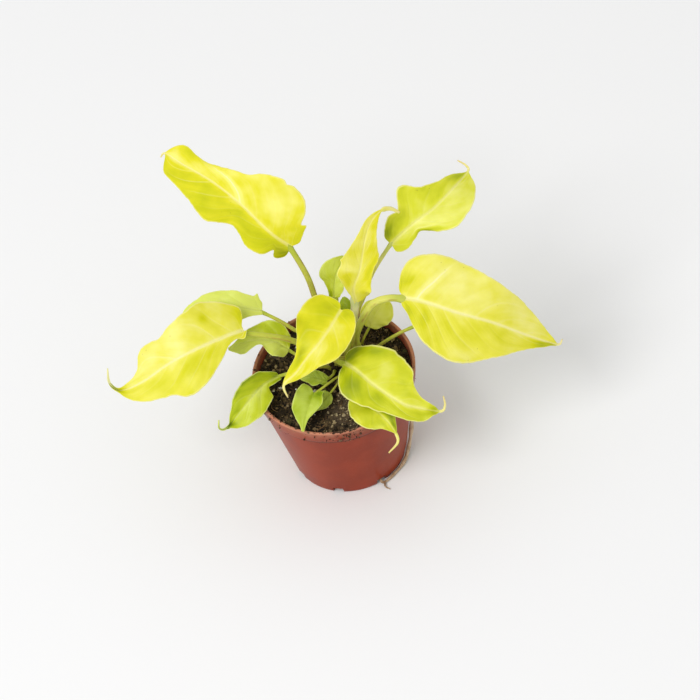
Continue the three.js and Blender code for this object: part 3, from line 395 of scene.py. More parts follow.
# The root that has left through a notch: out of the pot, round its foot and up its wall.
ROOT_PATH = [(9.2, -20.8, 1.7), (10.9, -24.2, 1), (17, -20.2, 1), (21.8, -15.6, 1.6),
    (24.7, -11, 4), (27.1, -7.2, 9), (28.8, -4.6, 16)]
ROOT_FORK = [(11.4, -23.9, 1), (11.2, -26.6, 0.9), (12.9, -28.4, 0.8)]


# Numbers

def unit(vectors):
    """Vectors at length one."""
    return vectors / np.maximum(np.linalg.norm(vectors, axis=-1, keepdims=True), 1e-9)


def rise(low, high, value):
    """Goes from 0 at low to 1 at high, level at both ends."""
    share = np.clip((value - low) / (high - low), 0, 1)
    return share * share * (3 - 2 * share)


def bell(value, middle, spread):
    """A hump: 1 in its middle, falling to 1/e at the spread on both sides."""
    return np.exp(-((value - middle) / spread) ** 2)


def scatter(column, row, seed):
    """An even random number from 0 to 1 for each cell of a grid: the part after the point of a
    large multiple of a sine."""
    wave = np.sin(column * 127.1 + row * 311.7 + seed * 74.7) * 43758.5453
    return wave - np.floor(wave)


def swell(x, y, size, seed):
    """Smooth bumps from -1 to 1: random values at the corners of a grid, blended between them."""
    column, row = np.floor(x / size), np.floor(y / size)
    across, up = rise(0, 1, x / size - column), rise(0, 1, y / size - row)
    near, far = (scatter(column, level, seed) * (1 - across)
        + scatter(column + 1, level, seed) * across for level in (row, row + 1))
    return 2 * (near * (1 - up) + far * up) - 1


def lumps(x, y, size, seed):
    """Round lumps from 0 to 1: a dome over each point of a grid whose points are shaken, its
    height falling as a circle does, and its top as random as its place."""
    column, row = np.floor(x / size), np.floor(y / size)
    highest = np.zeros_like(x)
    for i in (-1, 0, 1):
        for j in (-1, 0, 1):
            c, r = column + i, row + j
            beside = x / size - c - scatter(c, r, seed)
            behind = y / size - r - scatter(c, r, seed + 1)
            dome = np.sqrt(np.clip(1 - (np.hypot(beside, behind) / 0.72) ** 2, 0, 1))
            highest = np.maximum(highest, dome * (0.45 + 0.55 * scatter(c, r, seed + 2)))
    return highest


def circles(over, above, angles):
    """For each pair of directions at right angles, the directions at these angles from one to
    the other."""
    return over[:, None] * np.cos(angles)[:, None] + above[:, None] * np.sin(angles)[:, None]


def round_angles(count):
    """Angles evenly round a circle."""
    return np.linspace(0, 2 * math.pi, count, endpoint=False)


class Curve:
    """A smooth curve through points. Each span is the cubic that runs through its two ends with
    half the step between their neighbours as its slope there. Places go by length from the
    start."""

    SPAN = 60

    def __init__(self, points):
        points = np.array(points, float)
        ends = 2 * points[[0, -1]] - points[[1, -2]]
        p = np.vstack([ends[:1], points, ends[1:]])
        t = np.linspace(0, 1, self.SPAN, endpoint=False)[None, :, None]
        a, b, c, d = (p[k:len(p) - 3 + k, None] for k in range(4))
        spans = b + 0.5 * ((c - a) * t + (2 * a - 5 * b + 4 * c - d) * t ** 2
            + (3 * b - a - 3 * c + d) * t ** 3)
        self.points = np.vstack([spans.reshape(-1, points.shape[1]), points[-1:]])
        steps = np.linalg.norm(np.diff(self.points, axis=0), axis=1)
        self.reach = np.concatenate([[0], np.cumsum(steps)])
        self.length = self.reach[-1]

    def at(self, distance):
        """Points at these distances."""
        return np.stack([np.interp(distance, self.reach, axis) for axis in self.points.T], -1)

    def direction(self, distance):
        """Directions along the curve at these distances."""
        step = 0.01 * self.length
        ahead = self.at(np.minimum(distance + step, self.length))
        return unit(ahead - self.at(np.maximum(distance - step, 0)))


# Meshes

# Points in millimetres, arrays of faces with as many corners each, and named values at points.
Shell = namedtuple("Shell", "points faces marks")


def ring_faces(rows, ring, wrap=False):
    """Four-sided faces between neighbouring rows of a grid whose rows are closed rings. With
    wrap, the last row meets the first."""
    row, step = np.meshgrid(np.arange(rows if wrap else rows - 1), np.arange(ring), indexing="ij")
    below = (row + 1) % rows * ring
    a = row * ring + step
    b = row * ring + (step + 1) % ring
    return np.stack([a, b, below + (step + 1) % ring, below + step], -1).reshape(-1, 4)


def closed_tube(grid, **marks):
    """A shell from a grid of rings, closed at both ends by a fan of triangles to its middle."""
    rows, ring = grid.shape[:2]
    points = np.vstack([grid.reshape(-1, 3), grid[[0, -1]].mean(axis=1)])
    step = np.arange(ring)
    after = (step + 1) % ring
    first, last = rows * ring, rows * ring + 1
    base = (rows - 1) * ring
    fans = [np.stack([np.full(ring, first), after, step], -1),
        np.stack([np.full(ring, last), base + step, base + after], -1)]
    marks = {name: np.concatenate([mark.ravel(), mark[0, :1], mark[-1, :1]])
        for name, mark in marks.items()}
    return Shell(points, [ring_faces(rows, ring), *fans], marks)


def turned_out(shell):
    """The shell with its faces pointing out: turned over if its volume comes out below
    nothing."""
    triangles = np.vstack([face[:, [0, k, k + 1]]
        for face in shell.faces for k in range(1, face.shape[1] - 1)])
    a, b, c = (shell.points[triangles[:, k]] for k in range(3))
    if np.einsum("ij,ij->", a, np.cross(b, c)) > 0:
        return shell
    return shell._replace(faces=[face[:, ::-1] for face in shell.faces])


def joined(shells):
    """Several shells as one, each mark 0 where a shell lacks it."""
    names = sorted({name for shell in shells for name in shell.marks})
    starts = np.cumsum([0] + [len(shell.points) for shell in shells])
    faces = [face + start for shell, start in zip(shells, starts) for face in shell.faces]
    marks = {name: np.concatenate([shell.marks.get(name, np.zeros(len(shell.points)))
        for shell in shells]) for name in names}
    return Shell(np.vstack([shell.points for shell in shells]), faces, marks)


def add_piece(name, shell, finish, replaced=(), smooth=True):
    """A shell in millimetres as a named piece in metres, on the body, in the place of CAD
    nodes."""
    mesh = bpy.data.meshes.new(name)
    mesh.vertices.add(len(shell.points))
    mesh.vertices.foreach_set("co", (shell.points * MM).astype(np.float32).ravel())
    corners = np.concatenate([face.ravel() for face in shell.faces]).astype(np.int32)
    sizes = np.concatenate([np.full(len(face), face.shape[1], np.int32) for face in shell.faces])
    mesh.loops.add(len(corners))
    mesh.loops.foreach_set("vertex_index", corners)
    mesh.polygons.add(len(sizes))
    mesh.polygons.foreach_set("loop_start", (np.cumsum(sizes) - sizes).astype(np.int32))
    mesh.polygons.foreach_set("loop_total", sizes)
    mesh.polygons.foreach_set("use_smooth", np.full(len(sizes), smooth))
    for mark, values in shell.marks.items():
        attribute = mesh.attributes.new(mark, "FLOAT", "POINT")
        attribute.data.foreach_set("value", values.astype(np.float32))
    mesh.update(calc_edges=True)
    if mesh.validate():
        raise RuntimeError(f"{name} had faces that aren't sound")
    mesh.materials.append(finish)
    piece = bpy.data.objects.new(name, mesh)
    bpy.context.scene.collection.objects.link(piece)
    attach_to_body(piece, BODY)
    if replaced:
        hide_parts(*replaced)
    return piece


# Finishes

def colour(red, green, blue):
    """A screen colour, 0 to 255 a channel, as the linear colour that shaders take."""
    screen = np.array([red, green, blue]) / 255
    linear = np.where(screen <= 0.04045, screen / 12.92, ((screen + 0.055) / 1.055) ** 2.4)
    return (*linear, 1.0)


def chosen(tint):
    """A colour from the panel, which is linear already, as shaders take it."""
    return (*tint, 1.0)


class Value:
    """A socket of a finish, which Python's operators turn into Math nodes."""

    def __init__(self, finish, socket):
        self.finish = finish
        self.socket = socket

    def math(self, operation, *values):
        """The result of a Math node on these values."""
        inputs = dict(enumerate(values))
        return self.finish.node("ShaderNodeMath", {"operation": operation}, inputs)

    def __add__(self, other):
        return self.math("ADD", self, other)

    def __sub__(self, other):
        return self.math("SUBTRACT", self, other)

    def __rsub__(self, other):
        return self.math("SUBTRACT", other, self)

    def __mul__(self, other):
        return self.math("MULTIPLY", self, other)

    def __pow__(self, other):
        return self.math("POWER", self, other)

    def __abs__(self):
        return self.math("ABSOLUTE", self)

    __radd__ = __add__
    __rmul__ = __mul__

    def above(self, low, high):
        """0 up to low, 1 from high on, and smooth between."""
        settings = {"interpolation_type": "SMOOTHSTEP"}
        limits = {"Value": self, "From Min": low, "From Max": high}
        return self.finish.node("ShaderNodeMapRange", settings, limits)

    def below(self, low, high):
        """1 up to low, 0 from high on, and smooth between."""
        return 1 - self.above(low, high)

    def from_whole(self):
        """How far it is from a whole number, from 0 to a half."""
        return 0.5 - abs(self.math("FRACT", self) - 0.5)


class Finish:
    """A material, built up from nodes."""

    def __init__(self, name):
        self.material = bpy.data.materials.new(name)
        self.material.use_nodes = True
        self.tree = self.material.node_tree
        self.tree.nodes.clear()
        self.place = self.node("ShaderNodeTexCoord", {}, {}, "Object")

    def node(self, kind, settings, inputs, output=0):
        """Adds a node: first its settings, with a ramp's stops as (place, colour), then the values
        or links of its sockets. Gives one of its outputs, or nothing for the last node."""
        node = self.tree.nodes.new(kind)
        for name, setting in settings.items():
            if name == "stops":
                self.set_stops(node.color_ramp, setting)
            else:
                setattr(node, name, setting)
        for name, value in inputs.items():
            if isinstance(value, Value):
                self.tree.links.new(value.socket, node.inputs[name])
            else:
                node.inputs[name].default_value = value
        return None if output is None else Value(self, node.outputs[output])

    @staticmethod
    def set_stops(ramp, stops):
        """Gives a ramp as many stops as asked for, each at its place with its colour."""
        while len(ramp.elements) < len(stops):
            ramp.elements.new(1.0)
        for element, (place, tint) in zip(ramp.elements, stops):
            element.position = place
            element.color = tint

    def mark(self, name):
        """A value that the mesh carries."""
        return self.node("ShaderNodeAttribute", {"attribute_name": name}, {}, "Fac")

    def axis(self, number):
        """A coordinate of the place in millimetres: 0 for x, 1 for y and 2 for z."""
        return self.node("ShaderNodeSeparateXYZ", {}, {"Vector": self.place}, number) * (1 / MM)

    def moved(self, seed, stretch=(1, 1, 1)):
        """The place, moved by a seed and stretched."""
        return self.node("ShaderNodeMapping", {}, {
            "Vector": self.place, "Location": (seed, seed * 0.7, seed * 1.3), "Scale": stretch})

    def noise(self, size, detail=2.0, seed=0.0, stretch=(1, 1, 1)):
        """Cloudy noise from 0 to 1 with patches about size millimetres across."""
        return self.node("ShaderNodeTexNoise", {}, {
            "Vector": self.moved(seed, stretch), "Scale": 1 / (size * MM), "Detail": detail,
            "Roughness": 0.55})

    def cells(self, size, seed):
        """Cells about size millimetres across: the distance to the nearest centre."""
        return self.node("ShaderNodeTexVoronoi", {}, {
            "Vector": self.moved(seed), "Scale": 1 / (size * MM)}, "Distance")

    def streaks(self, across, along, detail):
        """Noise over two values of the mesh, so that its patches run with them."""
        at = self.node("ShaderNodeCombineXYZ", {}, {"X": across, "Y": along})
        return self.node("ShaderNodeTexNoise", {}, {"Vector": at, "Scale": 1.0, "Detail": detail})

    def ramp(self, value, *stops):
        """A colour that follows a value through the given stops."""
        return self.node("ShaderNodeValToRGB", {"stops": stops}, {"Fac": value})

    def mix(self, share, first, second, blend="MIX"):
        """From the first colour at share 0 to the second at share 1."""
        settings = {"data_type": "RGBA", "blend_type": blend}
        return self.node("ShaderNodeMix", settings, {0: share, 6: first, 7: second}, 2)

    def surface(self, tint, roughness, height, relief, **constants):
        """Ends the finish in one shader. Heights from 0 to 1 stand out by the relief, in
        millimetres. The constants are other sockets of the shader."""
        bump = self.node("ShaderNodeBump", {}, {"Height": height, "Distance": relief * MM})
        inputs = {"Base Color": tint, "Roughness": roughness, "Normal": bump}
        inputs.update({name.replace("_", " "): value for name, value in constants.items()})
        shader = self.node("ShaderNodeBsdfPrincipled", {}, inputs)
        self.node("ShaderNodeOutputMaterial", {}, {"Surface": shader}, None)
        return self.material


# Leaves

class LeafForm:
    """The shape of a leaf in its own coordinates: x along the midrib, y out over a half blade, q
    and v the shares of the way along the edge and out to it."""

    def __init__(self, leaf, seed):
        self.leaf = leaf
        self.seed = seed
        self.rib = Curve(leaf.rib)
        self.length = self.rib.reach[Curve.SPAN * (len(leaf.rib) - 1 - leaf.tail)]
        self.veins = int(np.clip(round(self.length / VEIN_SPACING), 4, 8))
        self.fine = self.length > FINE_LENGTH

    def frame(self, x):
        """Place on the midrib, the direction out of the upper face and the one across."""
        inside = np.clip(x, 0, self.rib.length)
        along = self.rib.direction(inside)
        place = self.rib.at(inside) + along * (x - inside)[..., None]
        facing = np.array(self.leaf.facing, float)
        step = np.clip(x / self.length, 0, 1) * (len(facing) - 1)
        up = np.stack([np.interp(step, np.arange(len(facing)), axis) for axis in facing.T], -1)
        up = unit(up - along * np.sum(up * along, axis=-1, keepdims=True))
        return place, up, np.cross(along, up)

    def edge(self, half, q):
        """The edge of a half blade at these shares of its length, a little ragged and nicked: how
        far along the midrib, and how far out."""
        edge = Curve([(0, 0.8), *half.edge, (self.length, TIP_WIDTH)])
        reach = q * edge.length
        end = edge.at(reach)
        ragged = 0.2 * swell(reach, 0 * q, 3.1, self.seed)
        ragged += 0.12 * swell(reach, 0 * q, 1.1, self.seed + 3)
        end[:, 1] += ragged * np.clip(end[:, 1] / 6, 0, 1) * np.clip(9 * (1 - q), 0, 1)
        for middle, spread, depth in half.nicks:
            end[:, 1] *= 1 - depth * bell(q, middle, spread)
        return end[:, 0], np.maximum(end[:, 1], TIP_WIDTH)

    def rolled(self, half, q, v):
        """How far the rolls turn a half blade up at each point."""
        angles = np.zeros((len(q), len(v)))
        for middle, spread, start, degrees in half.rolls:
            amount = math.radians(degrees) * bell(q, middle, spread)
            angles += np.outer(amount, rise(start, 1, v) if start else np.ones(len(v)))
        return angles

    def half_blade(self, side, q, v):
        """Half a blade. A row leaves the midrib at its length times q to a power and meets the
        edge at q. Going out, a row climbs at the fold angle and turns as the cup and the rolls
        say: its place is the sum of its steps. It rides a wave that grows as the square of y.
        Gives its points, their distances out, the directions out of the upper face, the wave left
        out of them, and how much the rolls turn it."""
        half = getattr(self.leaf, side)
        end_x, end_y = self.edge(half, q)
        sweep = EDGE_SWEEP * self.length * np.clip(4 * q, 0, 1) * (1 - q)
        x = np.outer(self.length * q ** RIB_POWER, 1 - v) + np.outer(end_x, v)
        x += np.outer(sweep, np.sin(math.pi * v))
        y = np.outer(end_y, v)
        width = max(out for _, out in half.edge)
        rolled = self.rolled(half, q, v)
        tilt = math.radians(half.fold) + math.radians(half.cup) / width * y + rolled
        between = 0.5 * (tilt[:, 1:] + tilt[:, :-1])
        step = np.diff(y, axis=1)
        start = np.zeros((len(q), 1))
        out = np.hstack([start, np.cumsum(step * np.cos(between), axis=1)])
        lift = np.hstack([start, np.cumsum(step * np.sin(between), axis=1)])
        height, count, phase = half.wave
        lift += height * (y / width) ** 2 * np.sin(2 * math.pi * (count * x / self.length + phase))
        place, up, across = self.frame(x)
        outward = across if side == "right" else -across
        tilt = np.where(y > 0, tilt, 0)[..., None]
        normal = up * np.cos(tilt) - outward * np.sin(tilt)
        return place + outward * out[..., None] + up * lift[..., None], y, normal, abs(rolled)

    def vein_phase(self, side, q, v):
        """Counts the side veins: whole numbers on them. A vein leaves the midrib and bends towards
        the tip, so its row falls back by a power of v, and its spacing wanders a little."""
        wander = 0.12 * np.sin(9 * q + self.seed) + 0.08 * np.sin(23 * q + 2 * self.seed)
        row = (q ** 0.85)[:, None] - 0.26 * v[None, :] ** 1.35
        return self.veins * row + VEIN_START[side] + wander[:, None] * (0.4 + v[None, :])

    def relief(self, side, q, v, y, phase, look):
        """Height over the plain half blade: a groove along the midrib, shallow grooves along the
        side veins with the blade swelling between them, a ripple along the margin that grows as
        v to the third, and slow bumps."""
        reach = y[:, -1:] / np.maximum(y[:, -1:].max(), 1)
        deep = look.rib_groove / MM * min(1, self.leaf.quilt)
        groove = -deep * bell(y, 0, 0.5) * (1 - 0.7 * q)[:, None]
        between = np.abs(np.sin(math.pi * phase)) ** 0.6 - 0.6
        quilt = look.quilting / MM * self.leaf.quilt * between * np.clip(5 * v, 0, 1)
        quilt = quilt * (1 - v ** 3) * reach
        ripple = np.sin(2 * math.pi * (RIPPLES[side] * q[:, None] ** 0.9 + self.seed * 0.37))
        ripple = look.ripple / MM * v ** 3 * ripple * reach * np.clip(8 * (1 - q), 0, 1)[:, None]
        bumps = swell(q[:, None] * self.length + 0 * y, y + self.seed * 13.0, 6.0, self.seed)
        return groove + quilt + ripple + 0.22 * bumps * reach * np.clip(3 * v, 0, 1)

    def dressed_half(self, side, q, v, look):
        """Half a blade with its relief: its points, distances out, vein count, directions and
        how much the rolls turn it."""
        points, y, normal, rolled = self.half_blade(side, q, v)
        phase = self.vein_phase(side, q, v)
        height = self.relief(side, q, v, y, phase, look)
        return points + normal * height[..., None], y, phase, normal, rolled

    def depth(self, along, across, rolled):
        """How much deeper the colour is than that of its kind: by the leaf's shade and patches,
        which are partly its own tone and partly painted light and shade, deeper where it is rolled,
        a painted shade, and paler on the thread."""
        left, right, base, tip = self.leaf.shade
        depth = (left * np.clip(-4 * across, 0, 1) + right * np.clip(4 * across, 0, 1)
            + base * bell(along, 0, 0.2) + tip * bell(along, 1, 0.08))
        for middle, out, spread, breadth, amount in self.leaf.patches:
            depth = depth + amount * bell(along, middle, spread) * bell(across, out, breadth)
        # Rolled parts are made deeper, a painted shade.
        return depth + 0.35 * rolled - 2 * rise(1.02, 1.1, along)

    def plainness(self, phase, across):
        """How plain each side vein is: random from vein to vein, with a few bold ones."""
        number, side = np.round(phase), np.sign(across)
        plain = scatter(number, side, self.seed) * min(1, self.leaf.quilt)
        for bold_side, bold_number in self.leaf.bold:
            plain = np.where((side == bold_side) & (number == bold_number), BOLD, plain)
        return plain

    def blade(self, look):
        """The blade as a slab on both halves of the midrib, and its drip tip as a thread."""
        rows, columns = (120, 26) if self.fine else (72, 16)
        q = np.linspace(0, 1, rows)
        v = np.linspace(0, 1, columns) ** 1.2
        halves = [self.dressed_half(side, q, v, look) for side in ("left", "right")]
        points, offset, phase, normal, rolled = (
            np.concatenate([left[:, :0:-1], right], axis=1) for left, right in zip(*halves))
        across = np.broadcast_to(np.concatenate([-v[:0:-1], v]), offset.shape)
        along = np.broadcast_to(q[:, None], offset.shape)
        half = 0.5 * look.thickness / MM * (1 - 0.4 * np.abs(across) ** 4)
        if self.leaf.tail:
            tip = self.drip_tip(across[0])
            count = len(tip)
            past = 1 + np.linspace(0.08, 0.3, count)[:, None] / self.leaf.tip
            thinner = np.linspace(1, 0.6, count)[:, None] * self.leaf.tip
            points = np.vstack([points, tip])
            normal = np.vstack([normal, np.repeat(normal[-1:], count, axis=0)])
            fill = [(offset, 0), (phase, 0.5), (rolled, 0), (along, past), (across, across[:1]),
                (half, half[:1] * thinner)]
            offset, phase, rolled, along, across, half = (
                np.vstack([part, value + np.zeros(tip.shape[:2])]) for part, value in fill)
        gap = 0.8 * self.length / self.veins
        clear = min(1.0, self.leaf.quilt) * (1 if self.fine else 0.7)
        return slab(points, normal, half, along=along, across=across, offset=offset, vein=phase,
            depth=self.depth(along, across, rolled), plain=self.plainness(phase, across),
            gap=np.full(offset.shape, gap), clear=np.full(offset.shape, clear))

    def drip_tip(self, across):
        """Rows along the last points of the midrib, narrowing to a thread."""
        share = np.linspace(0, 1, 10 * self.leaf.tail + 1)[1:]
        place, _, over = self.frame(self.length + share * (self.rib.length - self.length))
        width = TIP_WIDTH * (1 + (self.leaf.tip - 1) * rise(0, 0.15, share)) * (1 - 0.6 * share)
        return place[:, None] + over[:, None] * (width[:, None] * across)[..., None]

    def stalk(self, look):
        """Stalk and midrib as one tapering tube: up the stalk, then half sunk under the blade,
        with a channel along its upper side, a knuckle at the blade and a wider foot."""
        leaf = self.leaf
        share = np.array([0.04, 0.13, 0.22, 0.32, 0.42, 0.52, 0.62, 0.71, 0.8])
        place, up, _ = self.frame(share * self.length)
        under = place - up * (1.15 * leaf.radius[1] * (1 - 0.75 * share))[:, None]
        curve = Curve([*leaf.stalk, *under])
        attach = curve.length - 0.76 * self.length
        s = np.linspace(0, curve.length, 110 if self.fine else 80)
        reach = np.clip(s / attach, 0, 1)
        past = np.clip((s - attach) / (curve.length - attach), 0, 1)
        radius = (leaf.radius[0] + (leaf.radius[1] - leaf.radius[0]) * reach) * (1 - 0.78 * past)
        radius *= 1 + 0.2 * bell(s, attach - 1.8, 1.5)
        radius *= 1 + 0.3 * rise(9, 3, s)
        angles = round_angles(STALK_SIDES)
        section = 1 - np.outer(1 - past, look.channel * bell(angles, math.pi / 2, 0.55))
        along = curve.direction(s)
        over = unit(np.cross(along, np.broadcast_to(up[0], along.shape)))
        ring = circles(over, np.cross(over, along), angles)
        grid = curve.at(s)[:, None] + ring * (radius[:, None] * section)[..., None]
        plain = np.ones(grid.shape[:2])
        return closed_tube(grid, stalk=plain, along=plain * (s / attach)[:, None],
            across=plain * np.cos(angles), offset=plain * np.sin(angles), depth=plain * leaf.stem)


def slab(grid, normal, half, **marks):
    """A thin closed shell on a grid: the grid moved out by half its thickness on both faces, with
    an edge that is rounded by one more column half a thickness further out."""
    over = np.gradient(grid, axis=1)
    upper = grid + normal * half[..., None]
    lower = grid - normal * half[..., None]
    right = grid[:, -1:] + unit(over[:, -1:]) * (0.8 * half[:, -1:, None])
    left = grid[:, :1] - unit(over[:, :1]) * (0.8 * half[:, :1, None])
    rings = np.concatenate([upper, right, lower[:, ::-1], left], axis=1)
    around = {name: np.concatenate([mark, mark[:, -1:], mark[:, ::-1], mark[:, :1]], axis=1)
        for name, mark in marks.items()}
    columns = grid.shape[1]
    side = np.concatenate([np.zeros(columns), [0.5], np.ones(columns), [0.5]])
    return turned_out(closed_tube(rings, **around, under=np.broadcast_to(side, rings.shape[:2])))


# Pot and what fills it

def wall_radius(height):
    """Radius of the pot's outer wall, which widens evenly up to the rim band."""
    return FOOT_RADIUS + (WALL_TOP_RADIUS - FOOT_RADIUS) * height / BAND_FOOT


def inner_radius(height):
    """Radius of the pot's inner wall."""
    return wall_radius(height) - WALL


def rounded(outline, size, steps=5, closed=True):
    """An outline with its corners rounded: each corner turns into a parabola that starts and ends
    a corner's size away from it, or nearly half way along a short side."""
    p = np.array(outline, float)
    sides = np.roll(p, 1, axis=0) - p, np.roll(p, -1, axis=0) - p
    start, end = (p + unit(side) * np.minimum(size, 0.45 * np.linalg.norm(side, axis=1))[:, None]
        for side in sides)
    t = np.linspace(0, 1, steps)[None, :, None]
    arcs = start[:, None] * (1 - t) ** 2 + p[:, None] * 2 * t * (1 - t) + end[:, None] * t ** 2
    if closed:
        return arcs.reshape(-1, 2)
    return np.vstack([p[:1], arcs[1:-1].reshape(-1, 2), p[-1:]])


def turned(outline, angles):
    """An outline of (radius, height), or one for each angle, carried round the axis."""
    radius, height = outline[..., 0], outline[..., 1]
    shape = (outline.shape[-2], len(angles))
    radius, height = (part.T if part.ndim == 2 else part[:, None] for part in (radius, height))
    grid = [radius * np.cos(angles), radius * np.sin(angles), height + 0 * angles]
    return np.stack([np.broadcast_to(part, shape) for part in grid], -1)


def notch_angles(steps):
    """Angles round the pot, with two more at each side of each notch, and which are in one."""
    middles = np.radians(NOTCH_FIRST + 360 / NOTCH_COUNT * np.arange(NOTCH_COUNT))
    reach = math.atan(NOTCH_WIDTH / 2 / FOOT_RADIUS)
    sides = [middles + sign * reach + step for sign in (-1, 1) for step in (-0.002, 0.002)]
    angles = np.unique(np.mod(np.concatenate([round_angles(steps), *sides]), 2 * math.pi))
    away = np.abs(np.angle(np.exp(1j * (angles[:, None] - middles)))).min(axis=1)
    return angles, away < reach


def pot_shell():
    """The wall and the floor, both turned. In a notch the wall's foot is lifted along its slope,
    and the floor ends at the notch's inner radius."""
    angles, notched = notch_angles(POT_STEPS)
    rows = [0.5, 3.0, 3.4, 3.8, 4.5, 6, 9, 14, 22, 32, 42, 46, BAND_FOOT]
    wall = rounded([
        (FOOT_RADIUS - 0.5, 0), *((wall_radius(height), height) for height in rows),
        (wall_radius(BAND_FOOT) + BAND_STEP, BAND_FOOT + 0.5),
        (RIM_RADIUS - 0.1, POT_HEIGHT - 1.2), (RIM_RADIUS, POT_HEIGHT - 0.6),
        (RIM_RADIUS - 0.3, POT_HEIGHT), (RIM_RADIUS - 1, POT_HEIGHT),
        (RIM_RADIUS - 1.5, POT_HEIGHT - 0.6), (inner_radius(BAND_FOOT), BAND_FOOT - 0.5),
        *((inner_radius(height), height) for height in rows[-2:0:-1]), (inner_radius(0), 0)],
        0.4, 3)
    slope = (WALL_TOP_RADIUS - FOOT_RADIUS) / BAND_FOOT
    lift = np.where(notched[:, None], np.maximum(NOTCH_HEIGHT - wall[:, 1], 0), 0)
    wall = np.stack([wall[:, 0] + slope * lift, wall[:, 1] + lift], -1)
    inside = wall_radius(FLOOR_TOP) - 0.6 * WALL
    floor = rounded([(0, 0), (PAD_RADIUS, 0), (PAD_RADIUS + 1, CHANNEL_DEPTH),
        (FOOT_RADIUS - 4.5, CHANNEL_DEPTH), (FOOT_RADIUS - 3.5, 0), (FOOT_RADIUS - 0.6, 0),
        (inside, FLOOR_TOP), (0, FLOOR_TOP)], 0.5, closed=False)[1:-1]
    cut = notched[:, None] & (floor[:, 0] > NOTCH_INNER)
    floor = np.stack([np.where(cut, NOTCH_INNER, floor[:, 0]),
        np.where(cut, np.maximum(floor[:, 1], CHANNEL_DEPTH), floor[:, 1])], -1)
    ring = turned(wall, angles)
    loop = Shell(ring.reshape(-1, 3), [ring_faces(*ring.shape[:2], wrap=True)], {})
    return joined([turned_out(loop), turned_out(closed_tube(turned(floor, angles)))])


def soil_base(x, y):
    """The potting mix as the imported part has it: clods as sums of waves, and a mound at the
    stem."""
    clods = (0.35 * np.sin(0.55 * x + 1.2) * np.cos(0.48 * y - 0.6)
        + 0.22 * np.sin(1.3 * x - 0.9 * y + 2) + 0.18 * np.sin(0.7 * x + 2.1 * y))
    away = (x - STEM_AT[0]) ** 2 + (y - STEM_AT[1]) ** 2
    return SOIL_LEVEL + clods + STEM_MOUND * np.exp(-away / 90)


def soil_height(x, y):
    """The base with round lumps of three sizes on it, sinking a little along the wall."""
    edge = inner_radius(SOIL_LEVEL)
    grain = 0.75 * lumps(x, y, 3.1, 3) + 0.5 * lumps(x, y, 1.5, 11) + 0.25 * lumps(x, y, 0.75, 23)
    return soil_base(x, y) + grain - 0.55 - 0.5 * rise(edge - 3, edge, np.hypot(x, y))


def soil_shell():
    """A closed body of the pot's inside: a flat foot, the wall's slope and the lumpy top."""
    angles = round_angles(SOIL_STEPS)
    top = inner_radius(SOIL_LEVEL - 1) - 0.1
    foot = FLOOR_TOP + 1.3
    sides = [(2, FLOOR_TOP + CLEARANCE), (inner_radius(foot) - 1.9, FLOOR_TOP + CLEARANCE),
        (inner_radius(foot) - CLEARANCE, foot), (top - 0.5, SOIL_LEVEL - 3)]
    lower = turned(np.array(sides, float), angles)
    rings = top * np.linspace(1, 0.01, SOIL_RINGS)
    upper = turned(np.stack([rings, 0 * rings], -1), angles)
    upper[..., 2] = soil_height(upper[..., 0], upper[..., 1])
    return turned_out(closed_tube(np.concatenate([lower, upper])))


def turns(count, draws):
    """Random rotations: quaternions of length one as matrices."""
    w, x, y, z = unit(draws.normal(size=(count, 4))).T
    rows = [[1 - 2 * (y * y + z * z), 2 * (x * y - z * w), 2 * (x * z + y * w)],
        [2 * (x * y + z * w), 1 - 2 * (x * x + z * z), 2 * (y * z - x * w)],
        [2 * (x * z - y * w), 2 * (y * z + x * w), 1 - 2 * (x * x + y * y)]]
    return np.moveaxis(np.array(rows), -1, 0)


def repeated(one, shapes, draws):
    """Copies of a small shell, each with its own points and its own random shade."""
    count, corners = shapes.shape[:2]
    starts = corners * np.arange(count)[:, None, None]
    faces = [(face[None] + starts).reshape(-1, face.shape[1]) for face in one.faces]
    return Shell(shapes.reshape(-1, 3), faces, {"shade": np.repeat(draws.random(count), corners)})


def grains(centres, sizes, stretch, draws):
    """Many small rough lumps as one shell. Each is a ball of three rings and two poles, its
    points moved in or out at random, stretched, and turned at random."""
    one = turned_out(closed_tube(turned(
        np.array([(math.cos(tilt), math.sin(tilt)) for tilt in np.radians([-48, 0, 48])]),
        round_angles(6))))
    one.points[-2:] = [(0, 0, -1), (0, 0, 1)]
    count, corners = len(centres), len(one.points)
    shapes = one.points * (1 + 0.28 * (2 * draws.random((count, corners, 1)) - 1))
    shapes = shapes * sizes[:, None, None] * stretch[:, None, :]
    shapes = np.einsum("nij,nkj->nki", turns(count, draws), shapes) + centres[:, None]
    return repeated(one, shapes, draws)


def threads(centres, lengths, draws):
    """Many short bent threads as one shell: each a three-sided tube along a parabola that lies
    nearly level, thinning to its ends."""
    count = len(centres)
    t = np.linspace(-0.5, 0.5, 6)
    turn = 2 * math.pi * draws.random(count)
    tilt = 0.3 * (draws.random(count) - 0.5)
    along = np.stack([np.cos(turn) * np.cos(tilt), np.sin(turn) * np.cos(tilt), np.sin(tilt)], -1)
    over = np.stack([-np.sin(turn), np.cos(turn), 0 * turn], -1)
    bend = 0.6 * lengths * (draws.random(count) - 0.5)
    spine = (centres[:, None] + along[:, None] * np.outer(lengths, t)[..., None]
        + over[:, None] * np.outer(bend, 4 * t ** 2 - 0.3)[..., None])
    ring = circles(over, np.cross(along, over), round_angles(3))
    width = np.outer(0.06 + 0.09 * draws.random(count), 1 - 0.6 * (2 * t) ** 2)
    grid = spine[:, :, None] + ring[:, None] * width[..., None, None]
    shapes = np.concatenate([grid.reshape(count, -1, 3), grid[:, [0, -1]].mean(axis=2)], axis=1)
    return repeated(turned_out(closed_tube(grid[0])), shapes, draws)


